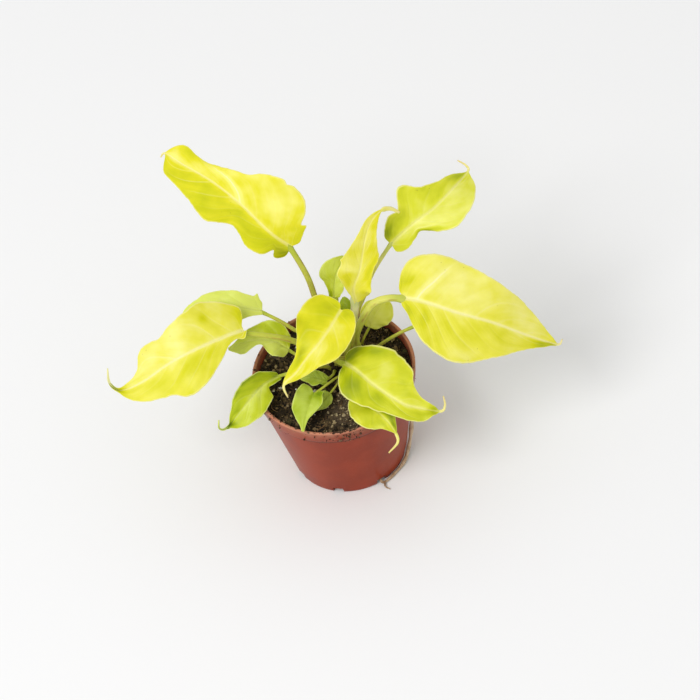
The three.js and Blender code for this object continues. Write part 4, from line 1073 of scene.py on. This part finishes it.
def on_soil(count, draws, sunk):
    """Random places on the potting mix, even by area."""
    radius = (inner_radius(SOIL_LEVEL) - 1.2) * np.sqrt(draws.random(count))
    angle = 2 * math.pi * draws.random(count)
    x, y = radius * np.cos(angle), radius * np.sin(angle)
    return np.stack([x, y, soil_height(x, y) - sunk], -1)


def mix_crumbs(count, draws):
    """Crumbs of peat on the mix, most of them small, and paler where the mix has dried."""
    sizes = 0.16 + 0.7 * draws.random(count) ** 2.8
    stretch = 0.6 + 0.9 * draws.random((count, 3))
    crumbs = grains(on_soil(count, draws, 0.1), sizes, stretch, draws)
    dry = np.exp(-np.sum((crumbs.points[:, :2] - DRY_AT) ** 2, axis=1) / 70)
    crumbs.marks["shade"] = crumbs.marks["shade"] + 0.8 * dry
    return crumbs


def mix_fibres(count, draws):
    """Fibres on the mix, most of them short."""
    places = on_soil(count, draws, -0.12)
    return threads(places, 2 + 6 * draws.random(count) ** 2, draws)


def perlite_grains(count, draws):
    """Rounder grains on the mix."""
    sizes = 0.35 + 0.6 * draws.random(count) ** 1.6
    stretch = 0.75 + 0.4 * draws.random((count, 3))
    return grains(on_soil(count, draws, 0.05), sizes, stretch, draws)


def rim_crumbs(count, draws):
    """Crumbs on the pot's rim and on the outside of its band, nearly half of them spilt in a
    heap at the front and the rest mostly at the front left."""
    heap = draws.random(count) < 0.45
    spilt, strewn = 271 + 6 * draws.normal(size=count), 235 + 70 * draws.normal(size=count)
    angle = np.radians(np.where(heap, spilt, strewn))
    size = 0.14 + 0.34 * draws.random(count) ** 2
    on_top = draws.random(count) < 0.6
    radius = np.where(on_top, RIM_RADIUS - 0.25 - 0.9 * draws.random(count), RIM_RADIUS + 0.05)
    height = np.where(on_top, POT_HEIGHT + 0.3 * size, POT_HEIGHT - 1 - 5 * draws.random(count))
    places = np.stack([radius * np.cos(angle), radius * np.sin(angle), height], -1)
    return grains(places, size, 0.6 + 0.8 * draws.random((count, 3)), draws)


def tube(curve, rows, sides, radius):
    """A round tube along a curve. The radius is a function of the share of the length and of the
    angle. Its frame turns least: it leans on one fixed direction that the curve stays clear
    of."""
    s = np.linspace(0, 1, rows)[:, None]
    angles = round_angles(sides)
    along = curve.direction(s[:, 0] * curve.length)
    over = unit(np.cross(along, np.broadcast_to([0.62, 0.71, -0.33], along.shape)))
    ring = circles(over, np.cross(over, along), angles)
    grid = curve.at(s * curve.length) + ring * radius(s, angles)[..., None]
    return turned_out(closed_tube(grid, along=s + 0 * angles))


def crown_shell():
    """The short stem: a turned column whose radius has rings where old leaves sat, and lumps."""
    knots = np.array(STEM_KNOTS).T
    height = np.linspace(knots[0, 0], knots[0, -1], 66)
    angles = round_angles(40)
    level = height[:, None] + 0 * angles
    bumps = swell(level, 3 * np.cos(angles) + 0 * level, 1.6, 5)
    rings = 1 + 0.06 * np.sin(2.6 * level) + 0.1 * bumps
    grid = turned(np.stack([np.interp(height, *knots), height], -1), angles)
    grid[..., :2] = grid[..., :2] * rings[..., None] + STEM_AT
    return turned_out(closed_tube(grid))


def sheath_shell(sheath):
    """A sheath at the stem: a strip wrapped round it by an angle that falls to a point at the
    top, its radius growing as a power of its height."""
    t = np.linspace(0, 1, 40)[:, None]
    a = np.linspace(-1, 1, 17)[None]
    wrap = sheath.spread * np.sqrt(np.clip(1 - t ** 2.2, 0.002, 1))
    turn = math.radians(sheath.angle) + a * wrap
    radius = sheath.out + sheath.lean * t ** 1.7 - 0.5 * a ** 2 * t
    height = sheath.low + (sheath.high - sheath.low) * (t - 0.108 * a ** 2)
    outward = np.stack([np.cos(turn), np.sin(turn), 0 * turn], -1)
    grid = outward * radius[..., None]
    grid[..., :2] += STEM_AT
    grid[..., 2] = height
    return slab(grid, outward, 0.14 + 0 * turn, along=t + 0 * a, across=a + 0 * t)


def knuckled(thick, thin, phase):
    """A root's radius: it goes from thick to thin, swells at knuckles and isn't quite round."""
    def radius(s, angle):
        knuckles = 1 + 0.14 * np.sin(31 * s + phase) + 0.06 * np.sin(2 * angle + 17 * s)
        return (thick + (thin - thick) * s) * knuckles
    return radius


def root_shell():
    """The root, a little thicker at its tip, and its fork, which thins to a point."""
    return joined([tube(Curve(ROOT_PATH), 120, 12, knuckled(0.55, 0.95, 0.4)),
        tube(Curve(ROOT_FORK), 40, 10, knuckled(0.5, 0.22, 1.7))])


# Stage

def looking(place, aim, right):
    """The placement of an object that looks from a place at an aim, with its right side towards
    the given direction."""
    back = unit(place - aim)
    right = unit(right - back * (right @ back))
    turn = Matrix(np.stack([right, np.cross(back, right), back], -1).tolist()).to_4x4()
    return Matrix.Translation(place * MM) @ turn


def add_camera(scene, look):
    """Puts the camera a metre from the pot's rim, rolled as the photograph is, and aims it a
    little up and to the right."""
    aim = POT_TOP + AIM_RIGHT * RIGHT + AIM_UP * UP
    camera = bpy.data.objects.new("camera", bpy.data.cameras.new("camera"))
    camera.data.lens = look.focal
    camera.data.sensor_width = 36
    camera.data.clip_start = 0.05
    camera.data.clip_end = 20
    camera.matrix_world = looking(POT_TOP + CAMERA_AWAY * TO_CAMERA, aim, RIGHT)
    scene.collection.objects.link(camera)
    scene.camera = camera


def add_floor(scene, look):
    """A level square far larger than the view, very faintly rough."""
    mesh = bpy.data.meshes.new("floor")
    reach = FLOOR_REACH * MM
    corners = [(-reach, -reach, 0), (reach, -reach, 0), (reach, reach, 0), (-reach, reach, 0)]
    mesh.from_pydata(corners, [], [(0, 1, 2, 3)])
    floor = Finish("pale_floor")
    mesh.materials.append(floor.surface(
        chosen(look.floor), 0.6, floor.noise(2), 0.01, Specular_IOR_Level=0.2))
    plane = bpy.data.objects.new("floor", mesh)
    scene.collection.objects.link(plane)


def add_light(scene, look):
    """A large soft lamp above on the left, and an even white light all round."""
    scene.view_settings.view_transform = "Standard"
    lamp = bpy.data.lights.new("lamp", "AREA")
    lamp.shape = "DISK"
    lamp.size = LAMP_SIZE * MM
    lamp.energy = look.lamp
    bulb = bpy.data.objects.new("lamp", lamp)
    bulb.matrix_world = looking(LAMP_AT, LAMP_AIM, np.cross([0, 0, 1], LAMP_AT - LAMP_AIM))
    scene.collection.objects.link(bulb)
    sky = bpy.data.worlds.new("even_light")
    sky.use_nodes = True
    sky.node_tree.nodes["Background"].inputs["Color"].default_value = (1, 1, 1, 1)
    sky.node_tree.nodes["Background"].inputs["Strength"].default_value = look.sky
    scene.world = sky


# Finishes of the plant and its pot

# The values that a leaf's mesh carries, and the lines on its blade.
Marks = namedtuple("Marks", "along across offset vein gap plain clear depth under stalk")
Lines = namedtuple("Lines", "side border fine midrib beside")


def blade_lines(at):
    """The lines on a blade, each 1 on the line and 0 off it: side veins, their pale borders, the
    fine veins between them, the midrib and the pale strip beside it. A vein is as bold as it is
    plain, and fades out before the margin."""
    near = at.vein.from_whole() * at.gap
    fade = abs(at.across).below(0.5, 0.95) * (0.08 + 0.92 * at.plain * at.plain * at.plain)
    fine = (at.vein * 4).from_whole() * at.gap * 0.25
    out = abs(at.offset)
    width = (1.5 - 0.8 * at.along) * (0.4 + 0.6 * at.clear)
    return Lines(near.below(0.0, 0.75) * fade, near.below(0.2, 3.0) * fade, fine.below(0.05, 0.5),
        out.below(width * 0.15, width), out.below(width * 0.5, 3.6 - 1.5 * at.along))


def blade_tint(leaf, at, lines, cloud, tone):
    """The colour of a blade. Its depth, which is partly the blade's own tone and partly painted
    light and shade, runs with soft clouds and streaks along the side veins through the kind's four
    tints to olive. Veins and midrib are cream, as are a thin line on the margin and the thread,
    which browns to its end. It has a few brown specks and a duller underside."""
    pale, middle, deep, dark, rib = (colour(*shade) for shade in tone[:5])
    margin = abs(at.across)
    streak = leaf.streaks(at.vein * 1.4, margin * 1.5, 1.0)
    depth = at.depth * (0.6 + 0.8 * streak) + 1.9 * (cloud - 0.5) + 1.5 * (streak - 0.5)
    depth = depth - 0.35 * lines.beside - 0.6 * tone.veins * lines.border - 0.04 * lines.fine
    body = leaf.ramp((depth + 1) * 0.25, (0.0, pale), (0.25, middle), (0.5, deep), (0.75, dark),
        (1.0, colour(112, 136, 18)))
    body = leaf.mix(lines.side * (0.6 * tone.veins), body, rib)
    edge = 0.93 + 0.035 * tone.veins
    body = leaf.mix(margin.above(edge, edge + 0.03) * (0.75 - 0.3 * tone.veins), body, rib)
    thread = leaf.mix(at.along.above(1.1, 1.28), colour(236, 222, 140), colour(214, 166, 112))
    body = leaf.mix(at.along.above(1.03, 1.12) * at.depth.below(-0.8, 0.2) * 0.8, body, thread)
    body = leaf.mix(lines.midrib * at.clear * (0.15 + 0.7 * tone.veins), body, rib)
    speck = leaf.cells(2.4, 5.0).below(0.05, 0.09) * leaf.noise(16, 1, 7.7).above(0.6, 0.66)
    body = leaf.mix(speck * 0.7, body, colour(126, 104, 38))
    dull = leaf.mix(1.0, body, colour(214, 232, 190), "MULTIPLY")
    return leaf.mix(at.under * 0.8, body, dull)


def stalk_tint(leaf, at, tone):
    """The colour of a stalk: five tints from olive to cream in patches, the palest of them painted
    light on a stalk that lies in shade, red lines along its edges, a greener knuckle, and cream
    where it runs on under the blade."""
    knuckle = at.along.above(0.82, 0.95) * at.along.below(1.0, 1.12)
    edge = abs(at.across).above(0.62, 0.8) * at.offset.above(0.1, 0.4)
    red = edge * leaf.noise(6, 2, 3.1).above(0.4, 0.6)
    mottle = at.along * 0.5 + leaf.noise(2.5) * 0.3 - at.depth * 0.45
    # The palest cream at the last stop is painted light on stalks that lie in shade.
    stem = leaf.ramp(mottle * 0.6, (0.0, colour(140, 136, 62)), (0.18, colour(176, 176, 66)),
        (0.36, colour(200, 205, 76)), (0.6, colour(226, 222, 120)), (0.9, colour(252, 248, 196)))
    stem = leaf.mix(red * 0.55, stem, colour(168, 112, 70))
    stem = leaf.mix(knuckle * 0.5, stem, colour(158, 178, 40))
    return leaf.mix(at.along.above(1.02, 1.2), stem, colour(*tone.rib))


def leaf_finish(name, look, tone):
    """A leaf with its stalk: half matt, faintly grained, its veins sunk a little, and lit from
    within where light shines on it."""
    leaf = Finish(name)
    at = Marks(*(leaf.mark(mark) for mark in Marks._fields))
    lines = blade_lines(at)
    cloud = leaf.noise(9, 2, 1.3)
    tint = leaf.mix(at.stalk, blade_tint(leaf, at, lines, cloud, tone), stalk_tint(leaf, at, tone))
    grain = 0.35 * leaf.noise(0.7) * (1 - at.stalk)
    height = 0.55 - 0.25 * lines.side - 0.18 * lines.midrib - 0.12 * lines.fine + grain
    roughness = look.roughness + 0.1 * cloud + 0.08 * at.under
    return leaf.surface(tint, roughness, height, 0.12, Coat_Weight=0.06, Coat_Roughness=0.25,
        Specular_IOR_Level=0.22, Subsurface_Weight=look.glow, Subsurface_Radius=(1.0, 0.9, 0.2),
        Subsurface_Scale=0.5 * MM)


def pot_finish(look):
    """Semi-gloss moulded plastic: an even clay red with faint clouds, a painted highlight along the
    top edge of the rim, a painted shadow in the corner under the band, dull dust that gathers on
    the rim, with the whole rim band a little paler as a painted reflection, dark crumb marks and
    fine scuffs."""
    pot = Finish("clay_red_plastic")
    height = pot.axis(2)
    cloud = pot.noise(14)
    scuff = pot.noise(1.2, 3, 2.0, (1, 1, 6)).above(0.55, 0.8)
    rim = height.above(BAND_FOOT - 3, POT_HEIGHT)
    lip_highlight = height.above(POT_HEIGHT - 0.9, POT_HEIGHT - 0.3)
    corner = (height.above(BAND_FOOT - 2, BAND_FOOT - 0.5)
        * height.below(BAND_FOOT - 0.1, BAND_FOOT + 0.8))
    dust = (pot.noise(2.6, 4, 4.0) * 0.6 + rim * 0.5).above(0.62, 1.0) * look.dust
    crumb = pot.cells(1.3, 2.0).below(0.1, 0.2) * pot.noise(5, 2, 9.0).above(0.52, 0.6) * rim
    tint = pot.mix(cloud.above(0.35, 0.7), chosen(look.shade), chosen(look.tint))
    # Painted highlight: the top edge of the rim is paler, as if lit.
    tint = pot.mix(lip_highlight * 0.7, tint, colour(222, 142, 106))
    # Painted shadow in the corner under the band.
    tint = pot.mix(corner * 0.75, tint, colour(78, 34, 22))
    # Dust where the noise gathers, and a painted reflection that makes the whole rim band a little
    # paler.
    tint = pot.mix(dust * 0.6 + rim * 0.22, tint, colour(176, 132, 108))
    tint = pot.mix(scuff * 0.12, tint, colour(196, 140, 118))
    tint = pot.mix(crumb * 0.85, tint, colour(52, 36, 26))
    roughness = look.roughness + 0.3 * dust + 0.1 * cloud + 0.4 * crumb
    relief = 0.5 * cloud + 0.25 * pot.noise(0.5, 2, 1.0) + 0.4 * crumb + 0.1 * scuff
    return pot.surface(tint, roughness, relief, 0.05, Specular_IOR_Level=0.12, IOR=1.48,
        Subsurface_Weight=0.04, Subsurface_Radius=(1.0, 0.3, 0.2), Subsurface_Scale=0.8 * MM)


def mix_finish(look):
    """Peat: dark to mid brown by patches and by crumbs, greyer where it has dried and green
    where algae grow."""
    peat = Finish("peat")
    patch, grit = peat.noise(8, 3), peat.noise(0.9, 4, 2.0)
    tint = peat.ramp(patch * 0.4 + grit * 0.6, (0.3, chosen(look.dark)),
        (0.52, chosen(look.middle)), (0.75, chosen(look.light)))
    away_x, away_y = ((peat.axis(axis) - float(DRY_AT[axis])) ** 2 for axis in (0, 1))
    dry = peat.noise(12, 2, 6.0).above(0.55, 0.72) + (away_x + away_y).below(20, 160)
    tint = peat.mix(dry * 0.4, tint, colour(122, 104, 84))
    algae = peat.noise(6, 2, 12.0).above(0.62, 0.75)
    tint = peat.mix(algae * 0.3, tint, colour(88, 92, 48))
    return peat.surface(tint, 0.92, grit + peat.cells(0.8, 3.0), 0.5, Specular_IOR_Level=0.2)


def shaded_finish(name, relief, *stops):
    """Loose bits: each its own shade of the given tints, mottled."""
    bit = Finish(name)
    shade = bit.mark("shade") * 0.8 + bit.noise(0.6, 3) * 0.3
    return bit.surface(bit.ramp(shade, *stops), 0.88, bit.noise(0.25, 3, 1.0), relief,
        Specular_IOR_Level=0.25)


def stem_finish():
    """The short stem: brown cork at its foot, turning green upwards, finely cracked across."""
    stem = Finish("corky_stem")
    cork = stem.noise(1.2, 4, 0.0, (1, 1, 2.5))
    tint = stem.ramp((stem.axis(2) - SOIL_LEVEL) * 0.1 + cork * 0.5, (0.2, colour(86, 62, 38)),
        (0.5, colour(134, 112, 60)), (0.9, colour(168, 172, 76)))
    return stem.surface(tint, 0.7, cork, 0.3, Subsurface_Weight=0.05)


def sheath_finish():
    """A thin sheath: pale straw green with fine lines that run up it and a browned tip."""
    sheath = Finish("straw_sheath")
    along, across = sheath.mark("along"), sheath.mark("across")
    lines = (across * 4.5 + sheath.noise(3) * 0.3).from_whole().below(0.1, 0.4)
    tint = sheath.ramp(along + sheath.noise(2) * 0.3, (0.1, colour(196, 192, 116)),
        (0.65, colour(222, 214, 140)), (1.0, colour(170, 128, 72)))
    tint = sheath.mix(lines * 0.3, tint, colour(160, 150, 78))
    return sheath.surface(tint, 0.5, lines, 0.1, Subsurface_Weight=0.3,
        Subsurface_Radius=(1.0, 0.8, 0.3), Subsurface_Scale=0.6 * MM)


def root_finish():
    """A root in the open: cream, browner in patches, with fine rings across it."""
    root = Finish("cream_root")
    along, patch = root.mark("along"), root.noise(3.5, 3)
    tint = root.ramp(patch * 0.8 + along * 0.15, (0.3, colour(142, 108, 76)),
        (0.5, colour(196, 168, 134)), (0.75, colour(228, 210, 184)))
    return root.surface(tint, 0.6, (along * 40).from_whole() + patch, 0.12, Subsurface_Weight=0.1,
        Subsurface_Radius=(1.0, 0.7, 0.4), Subsurface_Scale=0.5 * MM)


# Sizes and colours a user may change

def a_length(name, description, default):
    """A length that is set in millimetres and kept in metres."""
    return bpy.props.FloatProperty(name=name, description=description, default=default * MM,
        min=0.0, unit="LENGTH", precision=5)


def a_share(name, description, default):
    """A share from 0 to 1."""
    return bpy.props.FloatProperty(name=name, description=description, default=default,
        min=0.0, max=1.0, subtype="FACTOR")


def a_tint(name, description, *default):
    """A colour, given as it looks on a screen."""
    return bpy.props.FloatVectorProperty(name=name, description=description,
        default=colour(*default)[:3], size=3, min=0.0, max=1.0, subtype="COLOR")


def a_number(name, description, default):
    """A whole number."""
    return bpy.props.IntProperty(name=name, description=description, default=default, min=0)


class StageLook(bpy.types.PropertyGroup):
    """What the stage is made of."""

    floor: a_tint("Floor", "Colour of the floor", 240, 240, 240)
    sky: bpy.props.FloatProperty(name="Sky", description="Strength of the even light",
        default=0.72)
    lamp: bpy.props.FloatProperty(name="Lamp", description="Power of the lamp above on the left",
        default=31.0, unit="POWER")
    focal: bpy.props.FloatProperty(name="Focal length", description="Of the camera",
        default=121.4, subtype="DISTANCE_CAMERA")


class PotLook(bpy.types.PropertyGroup):
    """The nursery pot."""

    tint: a_tint("Colour", "The plastic where it is cleanest", 150, 57, 30)
    shade: a_tint("Shade", "The plastic in its darker clouds", 137, 50, 25)
    dust: a_share("Dust", "How dusty the rim is", 0.8)
    roughness: a_share("Roughness", "Roughness of the clean plastic", 0.3)
    crumbs: a_number("Crumbs", "Crumbs left on the rim", 260)


class MixLook(bpy.types.PropertyGroup):
    """The potting mix and what lies loose on it."""

    dark: a_tint("Dark", "The wettest peat", 16, 12, 7)
    middle: a_tint("Middle", "Most of the peat", 52, 41, 24)
    light: a_tint("Light", "The driest peat", 132, 110, 74)
    crumbs: a_number("Crumbs", "Loose crumbs of peat", 2600)
    threads: a_number("Fibres", "Loose fibres", 130)
    perlite: a_number("Perlite", "White grains of perlite", 16)


class LeafLook(bpy.types.PropertyGroup):
    """What all the leaves share."""

    thickness: a_length("Thickness", "Of a blade", 0.45)
    rib_groove: a_length("Midrib groove", "How deep the midrib lies", 0.28)
    quilting: a_length("Quilting", "How far the blade swells between its side veins", 0.25)
    ripple: a_length("Ripple", "How far the margin waves", 0.4)
    channel: a_share("Channel", "How deep the stalk's channel is, as a share of its radius", 0.22)
    roughness: a_share("Roughness", "Of the upper face", 0.36)
    glow: a_share("Glow", "How much light passes into a blade", 0.24)


# Steps

class PLANT_OT_stage(bpy.types.Operator):
    """Sets the camera, the floor, the lamp and the even light"""

    bl_idname = "plant.stage"
    bl_label = "Stage"

    def execute(self, context):
        scene, look = context.scene, context.scene.stage_look
        add_camera(scene, look)
        add_floor(scene, look)
        add_light(scene, look)
        return {"FINISHED"}


class PLANT_OT_pot(bpy.types.Operator):
    """Turns the nursery pot and leaves crumbs on its rim"""

    bl_idname = "plant.pot"
    bl_label = "Pot"

    def execute(self, context):
        look = context.scene.pot_look
        add_piece("nursery_pot", pot_shell(), pot_finish(look), ("pot",))
        spilt = shaded_finish("rim_crumb", 0.2, (0.2, colour(44, 31, 22)),
            (0.6, colour(84, 60, 42)), (0.95, colour(150, 122, 92)))
        crumbs = rim_crumbs(look.crumbs, np.random.default_rng(RIM_SEED))
        add_piece("rim_crumbs", crumbs, spilt, smooth=False)
        return {"FINISHED"}


class PLANT_OT_mix(bpy.types.Operator):
    """Fills the pot with potting mix and strews crumbs, fibres and perlite on it"""

    bl_idname = "plant.mix"
    bl_label = "Potting mix"

    def execute(self, context):
        look = context.scene.mix_look
        draws = np.random.default_rng(MIX_SEED)
        add_piece("potting_mix", soil_shell(), mix_finish(look), ("soil",))
        peat = shaded_finish("peat_crumb", 0.3, (0.3, chosen(look.dark)),
            (0.6, chosen(look.middle)), (0.85, chosen(look.light)), (1.0, colour(186, 168, 128)))
        crumbs = mix_crumbs(look.crumbs, draws)
        add_piece("mix_crumbs", crumbs, peat, smooth=False)
        straw = shaded_finish("peat_fibre", 0.1, (0.2, colour(70, 48, 30)),
            (0.6, colour(128, 94, 60)), (0.95, colour(190, 156, 110)))
        add_piece("mix_fibres", mix_fibres(look.threads, draws), straw)
        white = shaded_finish("perlite", 0.25, (0.1, colour(198, 190, 174)),
            (0.7, colour(236, 232, 222)), (1.0, colour(248, 246, 240)))
        beads = perlite_grains(look.perlite, draws)
        add_piece("perlite_grains", beads, white, smooth=False)
        return {"FINISHED"}


class PLANT_OT_stem(bpy.types.Operator):
    """Grows the short stem and the sheaths round it"""

    bl_idname = "plant.stem"
    bl_label = "Stem"

    def execute(self, context):
        add_piece("stem_crown", crown_shell(), stem_finish(), ("crown",))
        sheaths = joined([sheath_shell(sheath) for sheath in SHEATHS])
        add_piece("stem_sheaths", sheaths, sheath_finish())
        return {"FINISHED"}


class PLANT_OT_leaves(bpy.types.Operator):
    """Grows every leaf, each with its stalk"""

    bl_idname = "plant.leaves"
    bl_label = "Leaves"

    def execute(self, context):
        look = context.scene.leaf_look
        finishes = {name: leaf_finish(f"{name}_leaf", look, tone) for name, tone in TONES.items()}
        for seed, (node, leaf) in enumerate(LEAVES.items(), 1):
            form = LeafForm(leaf, seed)
            shell = joined([form.blade(look), form.stalk(look)])
            name = node.removeprefix("leaf_") + "_leaf"
            slot = "leaf_" + (leaf.slot or leaf.tone)
            add_piece(name, shell, finishes[leaf.tone], (node,))
        return {"FINISHED"}


class PLANT_OT_root(bpy.types.Operator):
    """Grows the root that has left through the pot's foot"""

    bl_idname = "plant.root"
    bl_label = "Root"

    def execute(self, context):
        add_piece("escaped_root", root_shell(), root_finish(), ("drain_root",))
        return {"FINISHED"}


class PLANT_PT_parts(bpy.types.Panel):
    """Lists the steps and what they may be given"""

    bl_idname = "PLANT_PT_parts"
    bl_label = "Potted philodendron"
    bl_space_type = "VIEW_3D"
    bl_region_type = "UI"
    bl_category = "Plant"

    def draw(self, context):
        for step, look in STEPS:
            box = self.layout.box()
            box.operator(step.bl_idname)
            if look:
                settings = getattr(context.scene, look)
                for name in type(settings).__annotations__:
                    box.prop(settings, name)


STEPS = [
    (PLANT_OT_stage, "stage_look"),
    (PLANT_OT_pot, "pot_look"),
    (PLANT_OT_mix, "mix_look"),
    (PLANT_OT_stem, None),
    (PLANT_OT_leaves, "leaf_look"),
    (PLANT_OT_root, None),
]

LOOKS = {"stage_look": StageLook, "pot_look": PotLook, "mix_look": MixLook, "leaf_look": LeafLook}


def register():
    """Adds the settings to every scene, and the steps and their panel to Blender."""
    for name, look in LOOKS.items():
        bpy.utils.register_class(look)
        setattr(bpy.types.Scene, name, bpy.props.PointerProperty(type=look))
    for step, _ in STEPS:
        bpy.utils.register_class(step)
    bpy.utils.register_class(PLANT_PT_parts)


def unregister():
    """Takes the panel, the steps and the settings out again."""
    bpy.utils.unregister_class(PLANT_PT_parts)
    for step, _ in reversed(STEPS):
        bpy.utils.unregister_class(step)
    for name, look in LOOKS.items():
        delattr(bpy.types.Scene, name)
        bpy.utils.unregister_class(look)


def main():
    """Runs every step."""
    register()
    bpy.ops.plant.stage()
    bpy.ops.plant.pot()
    bpy.ops.plant.mix()
    bpy.ops.plant.stem()
    bpy.ops.plant.leaves()
    bpy.ops.plant.root()


if __name__ == "__main__":
    main()
